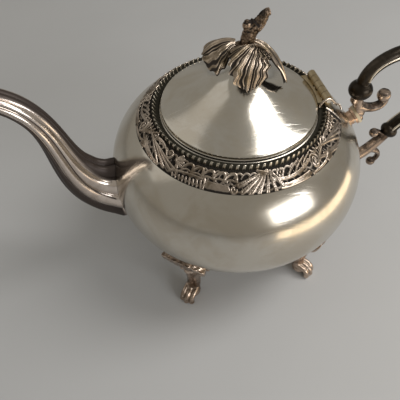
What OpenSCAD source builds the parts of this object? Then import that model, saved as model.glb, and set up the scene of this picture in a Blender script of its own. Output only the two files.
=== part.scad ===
// Footed teapot with a fluted swan-neck spout, an ear handle and a hinged bell lid.
// Frame: +Z up, the spout toward -X, the handle toward +X.
// The origin is on the table, under the axis of the body. All sizes are in millimetres.

/* [Body] */
// Diameter of the body at its widest line
body_dia = 170; // [160:1:180]
// Height of the widest line above the table
belly_z = 88; // [84:0.5:92]
// Rise of the upper curve above the widest line, measured on the axis
upper_rise = 56.4; // [53:0.2:60]
// Drop of the lower curve below the widest line, measured on the axis
lower_drop = 50; // [46:0.5:54]
// How square the body's curves are; 2 would be an ellipse
squareness = 2.25; // [2.1:0.01:2.4]
// Thickness of the body's sheet
body_wall = 1.2; // [0.8:0.1:1.8]
// Diameter of the mouth
mouth_dia = 91; // [86:0.5:93]
// Width of the short collar round the mouth
collar_w = 3.2; // [2.8:0.1:3.8]
// Height of the collar above the body's curve
collar_h = 1.9; // [1.4:0.1:3]

/* [Lid] */
// How far the lid's edge lies inside the collar's outer edge
lid_inset = 0.6; // [0.2:0.1:1.2]
// Height of the lid from its edge to its crown
lid_h = 30; // [26:0.5:34]
// Thickness of the lid's edge
lid_edge = 1.7; // [1.4:0.1:2.4]
// Thickness of the lid's sheet
lid_wall = 1.1; // [0.8:0.1:1.5]
// How far in the lid's flank aims as it leaves the edge
lid_flank_in = 18.1; // [14:0.5:22]
// Rise of that aiming point above the edge
lid_flank_rise = 7.5; // [6:0.5:10]
// Radius of the lid's flat crown, under the finial
crown_r = 6.5; // [6:0.1:8]
// Gap between the lid's edge and the collar it rests on
lid_gap = 0.2; // [0.1:0.05:0.4]
// Depth of the bezel that keeps the lid in the mouth
bezel_h = 4.6; // [3:0.2:6]
// Thickness of the bezel
bezel_wall = 1; // [0.7:0.1:1.4]
// Radial play of the bezel in the mouth
bezel_play = 0.7; // [0.5:0.05:1]

/* [Gadroon rim and scroll border] */
// Gap between the lid's edge and the gadroon rim
rim_gap = 0.9; // [0.7:0.05:1.4]
// Width of the gadroon rim
rim_w = 4.3; // [3.6:0.1:5]
// Height of the rim's crest above the collar
rim_rise = 1.3; // [0.8:0.1:2]
// Number of gadroons
gadroons = 88; // [60:4:96]
// Depth of the hollow between two gadroons
gadroon_depth = 0.8; // [0.3:0.1:1]
// Width of the scroll border
border_w = 10.8; // [9:0.2:13]
// Thickness of the border at its inner edge
border_inner_t = 3.6; // [2.6:0.1:4.4]
// Thickness of the border at its outer edge
border_outer_t = 0.9; // [0.6:0.1:1.6]
// Height of the scrolls above the border's ground
scroll_relief = 1.1; // [0.5:0.1:1.5]
// Number of scrolls in the border
scrolls = 18; // [12:1:22]

/* [Hinge] */
// Length of the hinge
hinge_len = 28; // [24:0.5:32]
// Diameter of the knuckles
knuckle_dia = 5.4; // [4.8:0.1:6]
// Distance from the lid's edge to the hinge's axis
hinge_offset = 5; // [4.8:0.1:6]
// Height of the hinge's axis above the lid's edge
hinge_rise = 0.6; // [0.2:0.1:1.5]
// Diameter of the hinge pin
hinge_pin_dia = 2.2; // [1.8:0.1:2.6]
// Radial running clearance of the pin
pin_clearance = 0.05; // [0.03:0.01:0.09]
// Gap between two knuckles
knuckle_gap = 0.3; // [0.25:0.05:0.5]
// Thickness of the hinge's leaves
leaf_t = 1.2; // [0.9:0.1:1.6]
// Width of the flat strip along the lid's edge
hinge_strip_w = 1.7; // [1.4:0.1:1.8]
// How far the body's leaf runs down the shoulder, past the axis
body_leaf_w = 7; // [5:0.5:9]

/* [Spout] */
// Reach of the spout's tip from the body's axis
spout_reach = 157; // [145:1:165]
// Height of the spout's tip, at its middle
spout_tip_z = 174; // [164:1:180]
// Height of the spout's root, at its middle
spout_root_z = 80; // [78:0.5:84]
// Rise of the spout's axis over the length of its belly
spout_rise = 4; // [0:0.5:8]
// Width of the spout's root
spout_root_w = 36; // [32:1:40]
// Height of the spout's root
spout_root_h = 46; // [42:1:50]
// Width of the spout's tip
spout_tip_dia = 15.6; // [13:0.2:18]
// How far the root swells outward before it turns up
spout_belly = 32; // [26:1:38]
// How far the neck runs level behind the tip
spout_neck = 56; // [50:1:60]
// Thickness of the spout's wall
spout_wall = 1.2; // [0.9:0.1:1.6]
// Number of flutes round the spout
spout_flutes = 10; // [8:1:12]
// Depth of the creases between the flutes, at the root
flute_depth = 1.6; // [0.6:0.1:2.2]
// Diameter of the strainer's holes
strainer_hole_dia = 3; // [2:0.1:3.6]
// Distance between the strainer's holes
strainer_pitch = 5.2; // [4.8:0.1:6]

/* [Handle] */
// Reach of the handle from the body's axis
handle_reach = 157; // [148:1:165]
// Thickness of the grip at its top
grip_t = 11; // [9:0.5:13]
// Thickness of the grip at its lower end
grip_end_t = 8.4; // [7:0.2:10]
// Height of the middle of the upper socket, where it meets the body
upper_socket_z = 107.5; // [104:0.5:111]
// Upward tilt of the upper socket
upper_socket_tilt = 34; // [28:1:40]
// Height of the middle of the lower socket, where it meets the body
lower_socket_z = 63; // [60:0.5:68]
// Upward tilt of the lower socket
lower_socket_tilt = 5; // [0:1:10]
// Length of the upper joint's socket from the body to its flange
socket_len = 5.4; // [4.8:0.1:7]
// Length of the lower joint's socket
lower_socket_len = 7.6; // [7:0.1:9]
// Diameter of a socket's flange
flange_dia = 12.4; // [11:0.2:14]
// Thickness of an insulator's disc
insulator_t = 1.8; // [1.2:0.1:3]
// Diameter of an insulator's tenon
tenon_dia = 6; // [5:0.2:7]
// Length of a tenon, on each side of the disc
tenon_len = 3.6; // [3:0.1:4]
// Radial play of a tenon in its bore
tenon_play = 0.1; // [0.06:0.01:0.2]
// Diameter of the pins that hold the tenons
lock_pin_dia = 1.6; // [1.2:0.1:2]
// Diameter of the knob at the grip's upper end
knob_dia = 15.8; // [14:0.2:18]
// Height of that knob
knob_h = 11; // [9:0.5:13]
// How far the knob stands above the upper joint
knob_rise = 21; // [19:0.5:24]
// How far the knob stands back from the upper joint
knob_back = 3.8; // [2:0.2:5]
// How far the grip's foot stands out from the lower joint
grip_foot_out = 34; // [31:0.5:37]
// How far the grip's foot stands above the lower joint
grip_foot_rise = 25; // [22:0.5:28]
// Height of the grip's outermost point above the middle of its ends
grip_side_rise = 16; // [12:0.5:20]
// How far the grip's top swings over its ends
grip_swing = 36; // [32:0.5:40]
// Diameter of the collar at the grip's lower end
grip_collar_dia = 13; // [11:0.2:15]
// Diameter of the balls that end the scrolls
volute_ball_dia = 7; // [5.6:0.2:8.4]
// Width of the scrolls' stems
scroll_stem_w = 10; // [8.6:0.2:11]
// How far the flying scroll reaches from the upper joint
flight_reach = 15.8; // [14:0.2:18]
// How far its ball stands above that joint
flight_rise = 12.8; // [11:0.2:15]
// How far the lower arm's fork stands out from the lower joint
fork_out = 26.5; // [24:0.5:29]
// How far that fork stands above the joint
fork_rise = 12.5; // [11:0.5:14]
// How far the upper volute rises from the fork
up_volute_rise = 12.4; // [10:0.2:14]
// How far the lower volute hangs from the fork
down_volute_drop = 20; // [17:0.5:23]

/* [Feet] */
// Radius of the circle that the toes reach
toe_circle_r = 81.5; // [78:0.5:88]
// Angle of each foot from the line through spout and handle
foot_azimuth = 49; // [42:1:56]
// Width of a paw
paw_w = 16; // [13:0.5:18]
// Height of a paw
paw_h = 11; // [9:0.5:13]
// Thickness of a leg
leg_t = 10.4; // [8.6:0.2:12]
// Width of the leaf that joins a foot to the body
foot_leaf_w = 34; // [30:1:42]
// Height of that leaf's lower end
foot_leaf_z = 43; // [40:0.5:46]
// Height of that leaf's tips
foot_leaf_top_z = 67; // [62:0.5:72]
// Thickness of that leaf
foot_leaf_t = 2.4; // [1.8:0.1:3]
// Diameter of the balls on the knee
knee_ball_dia = 6.2; // [5:0.2:7]
// Distance from the body's axis to the knee
knee_r = 70; // [67:0.5:73]

/* [Finial] */
// Height of the twig's tip above the lid's crown
twig_h = 27; // [24:0.5:31]
// How far the twig leans toward the handle
twig_lean = 12; // [9:0.5:14]
// Thickness of the twig at its foot
twig_t = 8.4; // [7.6:0.2:9.4]
// Width of the two broad leaves
leaf_w = 26; // [22:0.5:29]
// Width of the narrow leaf on the right
narrow_leaf_w = 13; // [10:0.5:16]
// How far the left leaf reaches from its root
left_leaf_reach = 18.5; // [15:0.5:21]
// How far its tip hangs below the root
left_leaf_drop = 8; // [4:0.5:11]
// How far the sides of the left leaf sag
left_leaf_sag = 24; // [19:0.5:27]
// How far the front leaf reaches
front_leaf_reach = 13.6; // [11:0.2:16]
// How far its tip hangs below the root
front_leaf_drop = 19.4; // [15:0.2:21]
// How far the right leaf reaches
right_leaf_reach = 24.4; // [20:0.2:27]
// How far its tip hangs below the root
right_leaf_drop = 29; // [24:0.5:31]
// How far the sides of the front and right leaves sag
leaf_sag = 4; // [2:0.5:6]
// Height of the leaves' root above the crown
leaf_root_h = 8.5; // [7:0.5:10]
// Thickness of a leaf
finial_leaf_t = 1.1; // [0.8:0.1:1.6]
// Height of a leaf's midrib
midrib_h = 1; // [0.5:0.1:1.6]
// Diameter of the finial's stud
stud_dia = 3; // [2.4:0.1:3.4]
// Width of the finial's nut across its flats
nut_w = 6.4; // [5.6:0.1:7]

/* [Hidden] */

silver = [0.66, 0.62, 0.55];
dark_silver = [0.33, 0.29, 0.27];
warm_silver = [0.58, 0.47, 0.38];
cream = [0.86, 0.82, 0.72];

solder_gap = 0.12;
edge_overrun = 1;
round_faces = 96;
small_round_faces = 32;

// ---- curves and lofts ----

// A point at share t of a cubic Bezier curve with the control points p.
function bezier(p, t) =
    pow(1 - t, 3) * p[0] + 3 * pow(1 - t, 2) * t * p[1] + 3 * (1 - t) * t * t * p[2] + pow(t, 3) * p[3];

// The direction of that curve, of length 1.
function bezier_dir(p, t) =
    let (d = pow(1 - t, 2) * (p[1] - p[0]) + 2 * (1 - t) * t * (p[2] - p[1]) + t * t * (p[3] - p[2]))
    d / norm(d);

// The point at v above and u beside a place on a curve drawn in the XZ plane.
function beside(at, dir, u, v) = [at[0] + v * dir[1], -u, at[1] - v * dir[0]];

// A point at distance r from the Z axis.
function polar(r, angle, z) = [r * cos(angle), r * sin(angle), z];

// Joins closed rings of points, all with as many points, into a solid.
// A looped loft returns from its last ring to its first; any other has flat ends.
module loft(rings, looped = false) {
    m = len(rings[0]);
    n = len(rings);
    spans = looped ? n : n - 1;
    sides = [for (i = [0:spans - 1], j = [0:m - 1])
        let (a = i * m, b = ((i + 1) % n) * m, k = (j + 1) % m)
        each [[a + j, b + k, a + k], [a + j, b + j, b + k]]];
    ends = looped ? [] : [[for (j = [0:m - 1]) j], [for (j = [m - 1:-1:0]) (n - 1) * m + j]];
    polyhedron([for (ring = rings) each ring], concat(sides, ends));
}

// Fuses its children into one casting, as one mesh.
module casting() resize([0, 0, 0]) union() children();

// A tapering arm along a Bezier curve in the XZ plane: u and v are its half width and half
// thickness at the start and the end.
module arm(p, u, v, rings = 8, sides = 8) {
    loft([for (i = [0:rings])
        let (t = i / rings, at = bezier(p, t), dir = bezier_dir(p, t))
        let (hu = u[0] + (u[1] - u[0]) * t, hv = v[0] + (v[1] - v[0]) * t)
        [for (j = [0:sides - 1]) beside(at, dir, hu * cos(360 * j / sides), hv * sin(360 * j / sides))]]);
}

// ---- body ----

body_r = body_dia / 2;
mouth_r = mouth_dia / 2;
collar_r = mouth_r + collar_w;

// The body's radius at height z, and the height of its shoulder at radius r.
function body_radius(z) =
    body_r * pow(1 - pow(abs(z - belly_z) / (z > belly_z ? upper_rise : lower_drop), squareness),
        1 / squareness);
function shoulder_z(r) = belly_z + upper_rise * pow(1 - pow(r / body_r, squareness), 1 / squareness);

// Points of the curve with half width a and height b, from the angle t0 to t1.
function hoop(a, b, t0, t1, steps) =
    [for (i = [0:steps]) let (t = t0 + (t1 - t0) * i / steps)
        [a * pow(cos(t), 2 / squareness), belly_z + b * pow(sin(t), 2 / squareness)]];
// The angle at which that curve comes in to radius r.
function hoop_angle(a, r) = acos(pow(r / a, squareness / 2));
// The points of a list but its first.
function after_first(points) = [for (i = [1:len(points) - 1]) points[i]];
// The lower half of such a curve, from the bottom to the widest line.
function bowl(a, b, steps) =
    [for (p = hoop(a, b, 90, 0, steps)) [p[0], 2 * belly_z - p[1]]];

seat_z = shoulder_z(collar_r) + collar_h;
bowl_steps = 20;

module body_shell() {
    outer = concat(bowl(body_r, lower_drop, bowl_steps),
        after_first(hoop(body_r, upper_rise, 0, hoop_angle(body_r, collar_r), bowl_steps)));
    a = body_r - body_wall;
    top = hoop(a, upper_rise - body_wall, hoop_angle(a, mouth_r), 0, bowl_steps);
    bottom = bowl(a, lower_drop - body_wall, bowl_steps);
    inner = concat(top, [for (i = [bowl_steps - 1:-1:0]) bottom[i]]);
    color(silver) difference() {
        rotate_extrude($fn = round_faces)
            polygon(concat(outer, [[collar_r, seat_z], [mouth_r, seat_z]], inner));
        strainer_holes();
    }
}

// A hexagon of holes through the wall, behind the spout.
module strainer_holes() {
    rings = 2;
    for (i = [-rings:rings], j = [-rings:rings])
        if (abs(i + j) <= rings)
            translate([-body_r, (i + j / 2) * strainer_pitch, spout_root_z + j * strainer_pitch * sin(60)])
                rotate([0, 90, 0])
                    cylinder(d = strainer_hole_dia, h = spout_root_w / 2, center = true, $fn = small_round_faces);
}

// The body as a full solid, grown by a solder gap, to trim what is soldered to it.
module body_form() {
    a = body_r + solder_gap;
    rotate_extrude($fn = round_faces)
        polygon(concat(bowl(a, lower_drop + solder_gap, bowl_steps),
            after_first(hoop(a, upper_rise + solder_gap, 0, 90, bowl_steps))));
}

// ---- gadroon rim and scroll border: two applied rings, open at the hinge ----

lid_r = collar_r - lid_inset;
lid_flank_r = lid_r - lid_flank_in;
rim_inner_r = collar_r + rim_gap;
rim_outer_r = rim_inner_r + rim_w;
border_inner_r = rim_outer_r + solder_gap;
border_outer_r = border_inner_r + border_w;
hinge_gap_half = hinge_len / 2 + 1.6;

// The angle at which radius r comes out of the gap for the hinge, and the angle at share s
// of the ring from there.
function gap_angle(r) = asin(hinge_gap_half / r);
function ring_angle(r, s) = gap_angle(r) + (360 - 2 * gap_angle(r)) * s;
function on_ring(r, s, z) = polar(r, ring_angle(r, s), z);

module gadroon_rim() {
    crest_z = seat_z + rim_rise;
    crest_r = rim_inner_r + rim_w * 0.42;
    flank_r = rim_inner_r + rim_w * 0.8;
    steps = gadroons * 2;
    color(warm_silver) loft([for (i = [0:steps])
        let (s = i / steps, dip = i % 2 == 0 ? gadroon_depth : 0)
        [on_ring(rim_inner_r, s, shoulder_z(rim_inner_r) + solder_gap),
            on_ring(rim_inner_r, s, crest_z - rim_w / 4),
            on_ring(crest_r, s, crest_z - dip / 2),
            on_ring(flank_r - dip / 2, s, (crest_z + shoulder_z(flank_r)) / 2 + 0.6 - dip),
            on_ring(rim_outer_r, s, shoulder_z(rim_outer_r) + solder_gap)]]);
}

// Relief of a running scroll, from 0 to 1: a waving stem with leaves in its hollows.
function scroll_wave(turn, across) =
    let (stem = 0.5 + 0.26 * sin(turn))
    let (ridge = exp(-pow((across - stem) / 0.17, 2)))
    let (leaf = pow(abs(sin(turn * 2 + across * 160)), 2) * abs(across - stem))
    min(1, ridge + leaf);

module scroll_border() {
    steps = scrolls * 6;
    across = [for (k = [1:5]) k / 6];
    bed = [1, 2 / 3, 1 / 3, 0];
    color(dark_silver) loft([for (i = [0:steps])
        let (s = i / steps, turn = s * 360 * scrolls)
        let (edge = border_outer_r - 0.5 + 0.5 * sin(turn * 2))
        concat(
            [for (a = across)
                let (r = border_inner_r + (edge - border_inner_r) * a)
                let (t = border_inner_t + (border_outer_t - border_inner_t) * a)
                on_ring(r, s, shoulder_z(r) + t - scroll_relief * (1 - scroll_wave(turn, a)) * min(1, t / 2))],
            [for (b = bed)
                let (r = border_inner_r + (edge - border_inner_r) * b)
                on_ring(r, s, shoulder_z(r) + solder_gap)],
            [on_ring(border_inner_r, s, shoulder_z(border_inner_r) + border_inner_t - scroll_relief / 2)])]);
}

// ---- spout ----

spout_path = [[-body_radius(spout_root_z), spout_root_z],
    [-body_radius(spout_root_z) - spout_belly, spout_root_z + spout_rise],
    [-spout_reach + spout_neck, spout_tip_z],
    [-spout_reach, spout_tip_z]];
spout_rings = 13;
spout_sides = spout_flutes * 4;

// Half width and half height of the spout at share t of its length.
function spout_half_w(t) = (spout_tip_dia + (spout_root_w - spout_tip_dia) * pow(1 - t, 1.7)) / 2;
function spout_half_h(t) = (spout_tip_dia + (spout_root_h - spout_tip_dia) * pow(1 - t, 1.8)) / 2;
function crease(t, angle) = flute_depth * (0.3 + 0.7 * (1 - t)) * (1 - abs(cos(angle * spout_flutes / 2)));

// The direction in which a ring of the spout faces: square to the body at first, and along
// the path from root_share on.
root_share = 0.4;
function spout_facing(t) =
    let (w = min(1, t / root_share), d = [-1, 0] * (1 - w) + bezier_dir(spout_path, t) * w)
    d / norm(d);

// One ring of the spout, inset from its outer surface. The first one lies on the body.
function spout_ring(t, inset, fluted) =
    let (at = bezier(spout_path, t), dir = spout_facing(t), stretch = 1 / (dir * bezier_dir(spout_path, t)))
    [for (j = [0:spout_sides - 1])
        let (a = 360 * j / spout_sides, cut = inset + (fluted ? crease(t, a) : 0))
        let (p = beside(at, dir, (spout_half_w(t) - cut) * cos(a), (spout_half_h(t) - cut) * stretch * sin(a)))
        t > 0 ? p : [-sqrt(pow(body_radius(p[2]) + solder_gap, 2) - p[1] * p[1]), p[1], p[2]]];

module spout() {
    bore_inset = spout_wall + flute_depth;
    tip_inset = spout_wall + flute_depth * 0.3;
    color(warm_silver) loft(concat(
        [for (i = [0:spout_rings]) spout_ring(i / spout_rings, 0, true)],
        [for (i = [spout_rings:-1:0])
            let (t = i / spout_rings)
            spout_ring(t, bore_inset + (tip_inset - bore_inset) * t, false)]), looped = true);
}

// ---- feet ----

// A ribbed shell leaf that brackets the knee to the underside of the body.
module foot_leaf() {
    rows = 5;
    cols = 8;
    loft([for (i = [0:rows])
        let (s = i / rows, z = foot_leaf_z + (foot_leaf_top_z - foot_leaf_z) * s)
        let (on_body = body_radius(z) + 2.5 * solder_gap)
        let (outer = knee_r + (body_radius(foot_leaf_top_z) + foot_leaf_t - knee_r) * sin(90 * s))
        let (half_w = foot_leaf_w / 2 * (0.55 + 0.45 * sin(90 * s)) * (1 - 0.6 * pow(s, 8)))
        let (deg = 180 / PI / outer, back = max(on_body, outer - foot_leaf_t * 2.5))
        concat(
            [for (j = [cols:-1:0]) let (q = -1 + 2 * j / cols) polar(back, half_w * q * deg, z)],
            [for (j = [0:cols]) let (q = -1 + 2 * j / cols)
                polar(outer - foot_leaf_t * (0.25 + 0.3 * q * q) * (j % 2), half_w * q * deg, z)])]);
}

// A cabriole leg with a paw, under a shell leaf. It stands on the plane z = 0.
module foot() {
    heel = [toe_circle_r - paw_w * 0.95, paw_h * 0.62];
    leg = [[knee_r - leg_t * 0.7, foot_leaf_z + 5], [knee_r + leg_t * 0.3, foot_leaf_z - 8],
        [heel[0] - leg_t * 0.7, paw_h * 2], heel];
    toe_r = paw_w / 6;
    casting() {
            foot_leaf();
            arm(leg, [leg_t * 0.56, leg_t * 0.5], [leg_t * 0.5, leg_t * 0.42], rings = 5);
            for (side = [-1, 0, 1])
                translate([knee_r - abs(side), side * leg_t * 0.9, foot_leaf_z - abs(side)])
                    sphere(d = knee_ball_dia, $fn = 8);
            hull() {
                translate([heel[0], 0, paw_h * 0.5]) sphere(d = paw_h * 0.95, $fn = 8);
                for (side = [-1, 1])
                    translate([toe_circle_r - toe_r * 2.6, side * paw_w * 0.25, paw_h * 0.36])
                        sphere(d = paw_h * 0.68, $fn = 8);
                translate([heel[0], 0, 0]) cylinder(d = paw_w * 0.6, h = 1, $fn = 8);
            }
            for (k = [-1.5, -0.5, 0.5, 1.5])
                hull() {
                    translate([toe_circle_r - toe_r * (1.1 + 0.3 * abs(k)), k * toe_r * 1.5, toe_r * 1.05])
                        sphere(r = toe_r, $fn = 8);
                    translate([toe_circle_r - toe_r * 3.4, k * toe_r * 1.25, paw_h * 0.5])
                        sphere(r = toe_r, $fn = 6);
                }
    }
}

module foot_front_left() color(warm_silver) rotate(180 + foot_azimuth) foot();
module foot_front_right() color(warm_silver) rotate(-foot_azimuth) foot();
module foot_back_left() color(warm_silver) rotate(180 - foot_azimuth) foot();
module foot_back_right() color(warm_silver) rotate(foot_azimuth) foot();

// ---- hinge ----

lid_edge_z = seat_z + lid_gap;
lid_top_z = lid_edge_z + lid_edge;
hinge_x = lid_r + hinge_offset;
hinge_z = lid_top_z + hinge_rise;
knuckle_r = knuckle_dia / 2;
knuckles = 5;
knuckle_pitch = hinge_len / knuckles;
strip_x = lid_r + hinge_strip_w;

// One knuckle's cylinder; k counts from the front end.
module knuckle(k, d) {
    translate([hinge_x, -hinge_len / 2 + k * knuckle_pitch + knuckle_gap / 2, hinge_z])
        rotate([-90, 0, 0]) cylinder(d = d, h = knuckle_pitch - knuckle_gap, $fn = small_round_faces);
}

module pin_bore() {
    translate([hinge_x, 0, hinge_z]) rotate([90, 0, 0])
        cylinder(r = hinge_pin_dia / 2 + pin_clearance, h = hinge_len + 2 * edge_overrun, center = true,
            $fn = small_round_faces);
}

// The leaf on the shoulder: a saddle that follows the body, with a web under each knuckle.
module hinge_leaf_body() {
    inner_r = rim_inner_r;
    outer_r = hinge_x + body_leaf_w;
    saddle_steps = 6;
    radii = [for (i = [0:saddle_steps]) inner_r + (outer_r - inner_r) * i / saddle_steps];
    color(silver) difference() {
        union() {
            intersection() {
                rotate_extrude($fn = round_faces)
                    polygon(concat([for (r = radii) [r, shoulder_z(r) + solder_gap]],
                        [for (i = [saddle_steps:-1:0]) [radii[i], shoulder_z(radii[i]) + solder_gap + leaf_t]]));
                translate([0, -hinge_len / 2, 0]) cube([outer_r + edge_overrun, hinge_len, hinge_z]);
            }
            for (k = [0:2:knuckles - 1]) {
                knuckle(k, knuckle_dia);
                translate([hinge_x - leaf_t, -hinge_len / 2 + k * knuckle_pitch + knuckle_gap / 2,
                        shoulder_z(outer_r)])
                    cube([leaf_t * 2, knuckle_pitch - knuckle_gap, hinge_z - shoulder_z(outer_r)]);
            }
        }
        pin_bore();
        body_form();
    }
}

// The leaf on the lid: a strip along the lid's edge that carries two knuckles.
module hinge_leaf_lid() {
    strip_top = lid_top_z - 0.2;
    color(silver) difference() {
        union() {
            translate([lid_r - edge_overrun * 3, -hinge_len / 2, strip_top - leaf_t])
                cube([strip_x - lid_r + edge_overrun * 3, hinge_len, leaf_t]);
            for (k = [1:2:knuckles - 1]) {
                knuckle(k, knuckle_dia);
                translate([strip_x - edge_overrun, -hinge_len / 2 + k * knuckle_pitch + knuckle_gap / 2,
                        strip_top - leaf_t])
                    cube([hinge_x - strip_x + edge_overrun, knuckle_pitch - knuckle_gap, leaf_t]);
            }
        }
        pin_bore();
        translate([0, 0, seat_z - edge_overrun])
            cylinder(r = lid_r + 0.05, h = knuckle_dia * 2, $fn = round_faces);
    }
}

module hinge_pin() {
    head_h = 0.7;
    color(silver) translate([hinge_x, 0, hinge_z]) rotate([90, 0, 0]) {
        cylinder(d = hinge_pin_dia, h = hinge_len + 0.4, center = true, $fn = small_round_faces);
        for (side = [-1, 1])
            translate([0, 0, side * (hinge_len / 2 + 0.2 + head_h / 2)])
                cylinder(d = hinge_pin_dia + 1, h = head_h, center = true, $fn = small_round_faces);
    }
}

// ---- lid ----

crown_z = lid_top_z + lid_h;
bezel_r = mouth_r - bezel_play;
lid_curve = [[lid_r, lid_top_z], [lid_flank_r, lid_top_z + lid_flank_rise],
    [crown_r + 2.5, lid_top_z + lid_h * 0.42], [crown_r, crown_z]];
lid_inner_curve = [[bezel_r + 0.05, lid_top_z - lid_wall / 2],
    [lid_flank_r - lid_wall, lid_top_z + lid_flank_rise - lid_wall],
    [crown_r + 2.5 - lid_wall, lid_top_z + lid_h * 0.42 - lid_wall], [crown_r - lid_wall, crown_z - lid_wall * 1.4]];
lid_steps = 20;

// The height of the lid's outer surface at radius r, by halving the share of its curve.
function lid_share(r, lo = 0, hi = 1, n = 14) =
    n == 0 ? (lo + hi) / 2
        : bezier(lid_curve, (lo + hi) / 2)[0] > r ? lid_share(r, (lo + hi) / 2, hi, n - 1)
            : lid_share(r, lo, (lo + hi) / 2, n - 1);
function lid_z(r) = r > lid_r ? lid_top_z : r < crown_r ? crown_z : bezier(lid_curve, lid_share(r))[1];

module lid_dome() {
    stud_hole_r = stud_dia / 2 + 0.1;
    lip = lid_edge * 0.3;
    color(silver) rotate_extrude($fn = round_faces)
        polygon(concat(
            [[bezel_r + 0.05, lid_edge_z], [lid_r - lip, lid_edge_z], [lid_r, lid_edge_z + lip],
                [lid_r, lid_top_z - lip], [lid_r - lip, lid_top_z]],
            [for (i = [1:lid_steps]) bezier(lid_curve, i / lid_steps)],
            [[stud_hole_r, crown_z], [stud_hole_r, crown_z - lid_wall * 1.4]],
            [for (i = [lid_steps:-1:0]) bezier(lid_inner_curve, i / lid_steps)]));
}

module lid_bezel() {
    top = lid_top_z - lid_wall / 2 - 0.1;
    color(silver) rotate_extrude($fn = round_faces)
        translate([bezel_r - bezel_wall, seat_z - bezel_h])
            square([bezel_wall, top - seat_z + bezel_h]);
}

// ---- finial ----

// The foot of the twig, to which the leaves are joined, and its stem, grown by a gap.
boss_h = 8;
stem_base_z = crown_z + solder_gap;
knot_z = crown_z + twig_h * 0.72;

module twig_stem(gap = 0) {
    r = twig_t / 2 + gap;
    translate([0, 0, stem_base_z])
        cylinder(r1 = crown_r - 0.2 + gap, r2 = twig_t * 0.58 + gap, h = boss_h, $fn = 20);
    arm([[0.6, stem_base_z + 3], [twig_lean * 0.36, crown_z + twig_h * 0.36],
        [twig_lean * 0.05, crown_z + twig_h * 0.5], [twig_lean * 0.58, knot_z]], [r, r * 0.84], [r, r * 0.94], sides = 10);
}

module finial_twig() {
    tip = [[twig_lean * 0.35, knot_z - 2.5], [twig_lean * 0.9, knot_z], [twig_lean * 0.78, crown_z + twig_h * 0.92],
        [twig_lean * 1.12, crown_z + twig_h * 0.94]];
    color(warm_silver) difference() {
        casting() {
            twig_stem();
            arm(tip, [twig_t * 0.42, twig_t * 0.28], [twig_t * 0.5, twig_t * 0.22], rings = 7, sides = 10);
            translate([twig_lean * 0.15, 0, knot_z]) sphere(r = twig_t * 0.34, $fn = 10);
            translate([twig_lean * 0.6, -twig_t * 0.3, knot_z - 1]) sphere(r = twig_t * 0.26, $fn = 8);
        }
        translate([0, 0, stem_base_z - edge_overrun])
            cylinder(d = stud_dia + 0.2, h = boss_h + edge_overrun, $fn = small_round_faces);
    }
}

// A lobed leaf that leaves the twig's foot and hangs along a Bezier curve of radius and
// height. Its sides droop by sag, given at its root and at its tip.
module finial_leaf(azimuth, curve, width, sag) {
    rows = 9;
    cols = 8;
    rotate(azimuth) loft([for (i = [0:rows])
        let (s = i / rows, at = bezier(curve, s), dir = bezier_dir(curve, s))
        let (half_w = width / 2 * pow(sin(14 + 146 * pow(s, 1.3)), 0.8) * (0.9 + 0.1 * cos(s * 1080)))
        let (droop = (sag[0] + (sag[1] - sag[0]) * s) * pow(half_w * 2 / width, 2))
        concat(
            [for (j = [0:cols]) let (q = -1 + 2 * j / cols) [at[0], half_w * q, at[1] - droop * q * q]],
            [for (j = [cols:-1:0])
                let (q = -1 + 2 * j / cols)
                let (t = finial_leaf_t + midrib_h * (1 - abs(q)) * (1 - s) + finial_leaf_t * 0.5 * ((j + 1) % 2))
                [at[0] - t * dir[1], half_w * q, at[1] + t * dir[0] - droop * q * q]])]);
}

// The leaves start inside the twig and are trimmed to it.
leaf_root = [twig_t * 0.3, crown_z + leaf_root_h];

// A leaf's curve, with its two middle points at shares of its reach.
function leaf_curve(reach, drop, first, second) =
    [leaf_root, leaf_root + reach * first, leaf_root + reach * second, leaf_root + [reach, -drop]];

module finial_leaf_left() color(dark_silver) difference() {
    finial_leaf(163, leaf_curve(left_leaf_reach, left_leaf_drop, [0.38, 0.07], [0.78, 0]), leaf_w,
        [left_leaf_sag, 2]);
    twig_stem(solder_gap);
}

module finial_leaf_front() color(dark_silver) difference() {
    finial_leaf(-85, leaf_curve(front_leaf_reach, front_leaf_drop, [0.44, 0.15], [0.92, -0.29]), leaf_w,
        [leaf_sag, 2]);
    twig_stem(solder_gap);
}

module finial_leaf_right() color(dark_silver) difference() {
    finial_leaf(-7, leaf_curve(right_leaf_reach, right_leaf_drop, [0.45, -0.02], [0.82, -0.49]), narrow_leaf_w,
        [leaf_sag, 1]);
    twig_stem(solder_gap);
}

washer_t = 0.8;
nut_h = 2.4;

module finial_stud() {
    bottom = crown_z - lid_wall * 1.4 - washer_t - nut_h - 1.2;
    color(silver) translate([0, 0, bottom])
        cylinder(d = stud_dia, h = crown_z + boss_h - 0.5 - bottom, $fn = small_round_faces);
}

module finial_washer() {
    color(silver) translate([0, 0, crown_z - lid_wall * 1.4 - washer_t]) difference() {
        cylinder(r = crown_r - lid_wall - 0.5, h = washer_t, $fn = small_round_faces);
        translate([0, 0, -edge_overrun])
            cylinder(d = stud_dia + 0.2, h = washer_t + 2 * edge_overrun, $fn = small_round_faces);
    }
}

module finial_nut() {
    color(silver) translate([0, 0, crown_z - lid_wall * 1.4 - washer_t - nut_h]) difference() {
        cylinder(d = nut_w / cos(30), h = nut_h, $fn = 6);
        translate([0, 0, -edge_overrun])
            cylinder(d = stud_dia + 0.1, h = nut_h + 2 * edge_overrun, $fn = small_round_faces);
    }
}

// ---- handle ----

upper_root = [body_radius(upper_socket_z), 0, upper_socket_z];
lower_root = [body_radius(lower_socket_z), 0, lower_socket_z];
// A joint to the body: its root, its tilt and its socket's length.
upper_joint = [upper_root, upper_socket_tilt, socket_len];
lower_joint = [lower_root, lower_socket_tilt, lower_socket_len];
joint_gap = 0.05;
scroll_face = joint_gap + insulator_t + joint_gap;
scroll_flange_t = 1.8;

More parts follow.
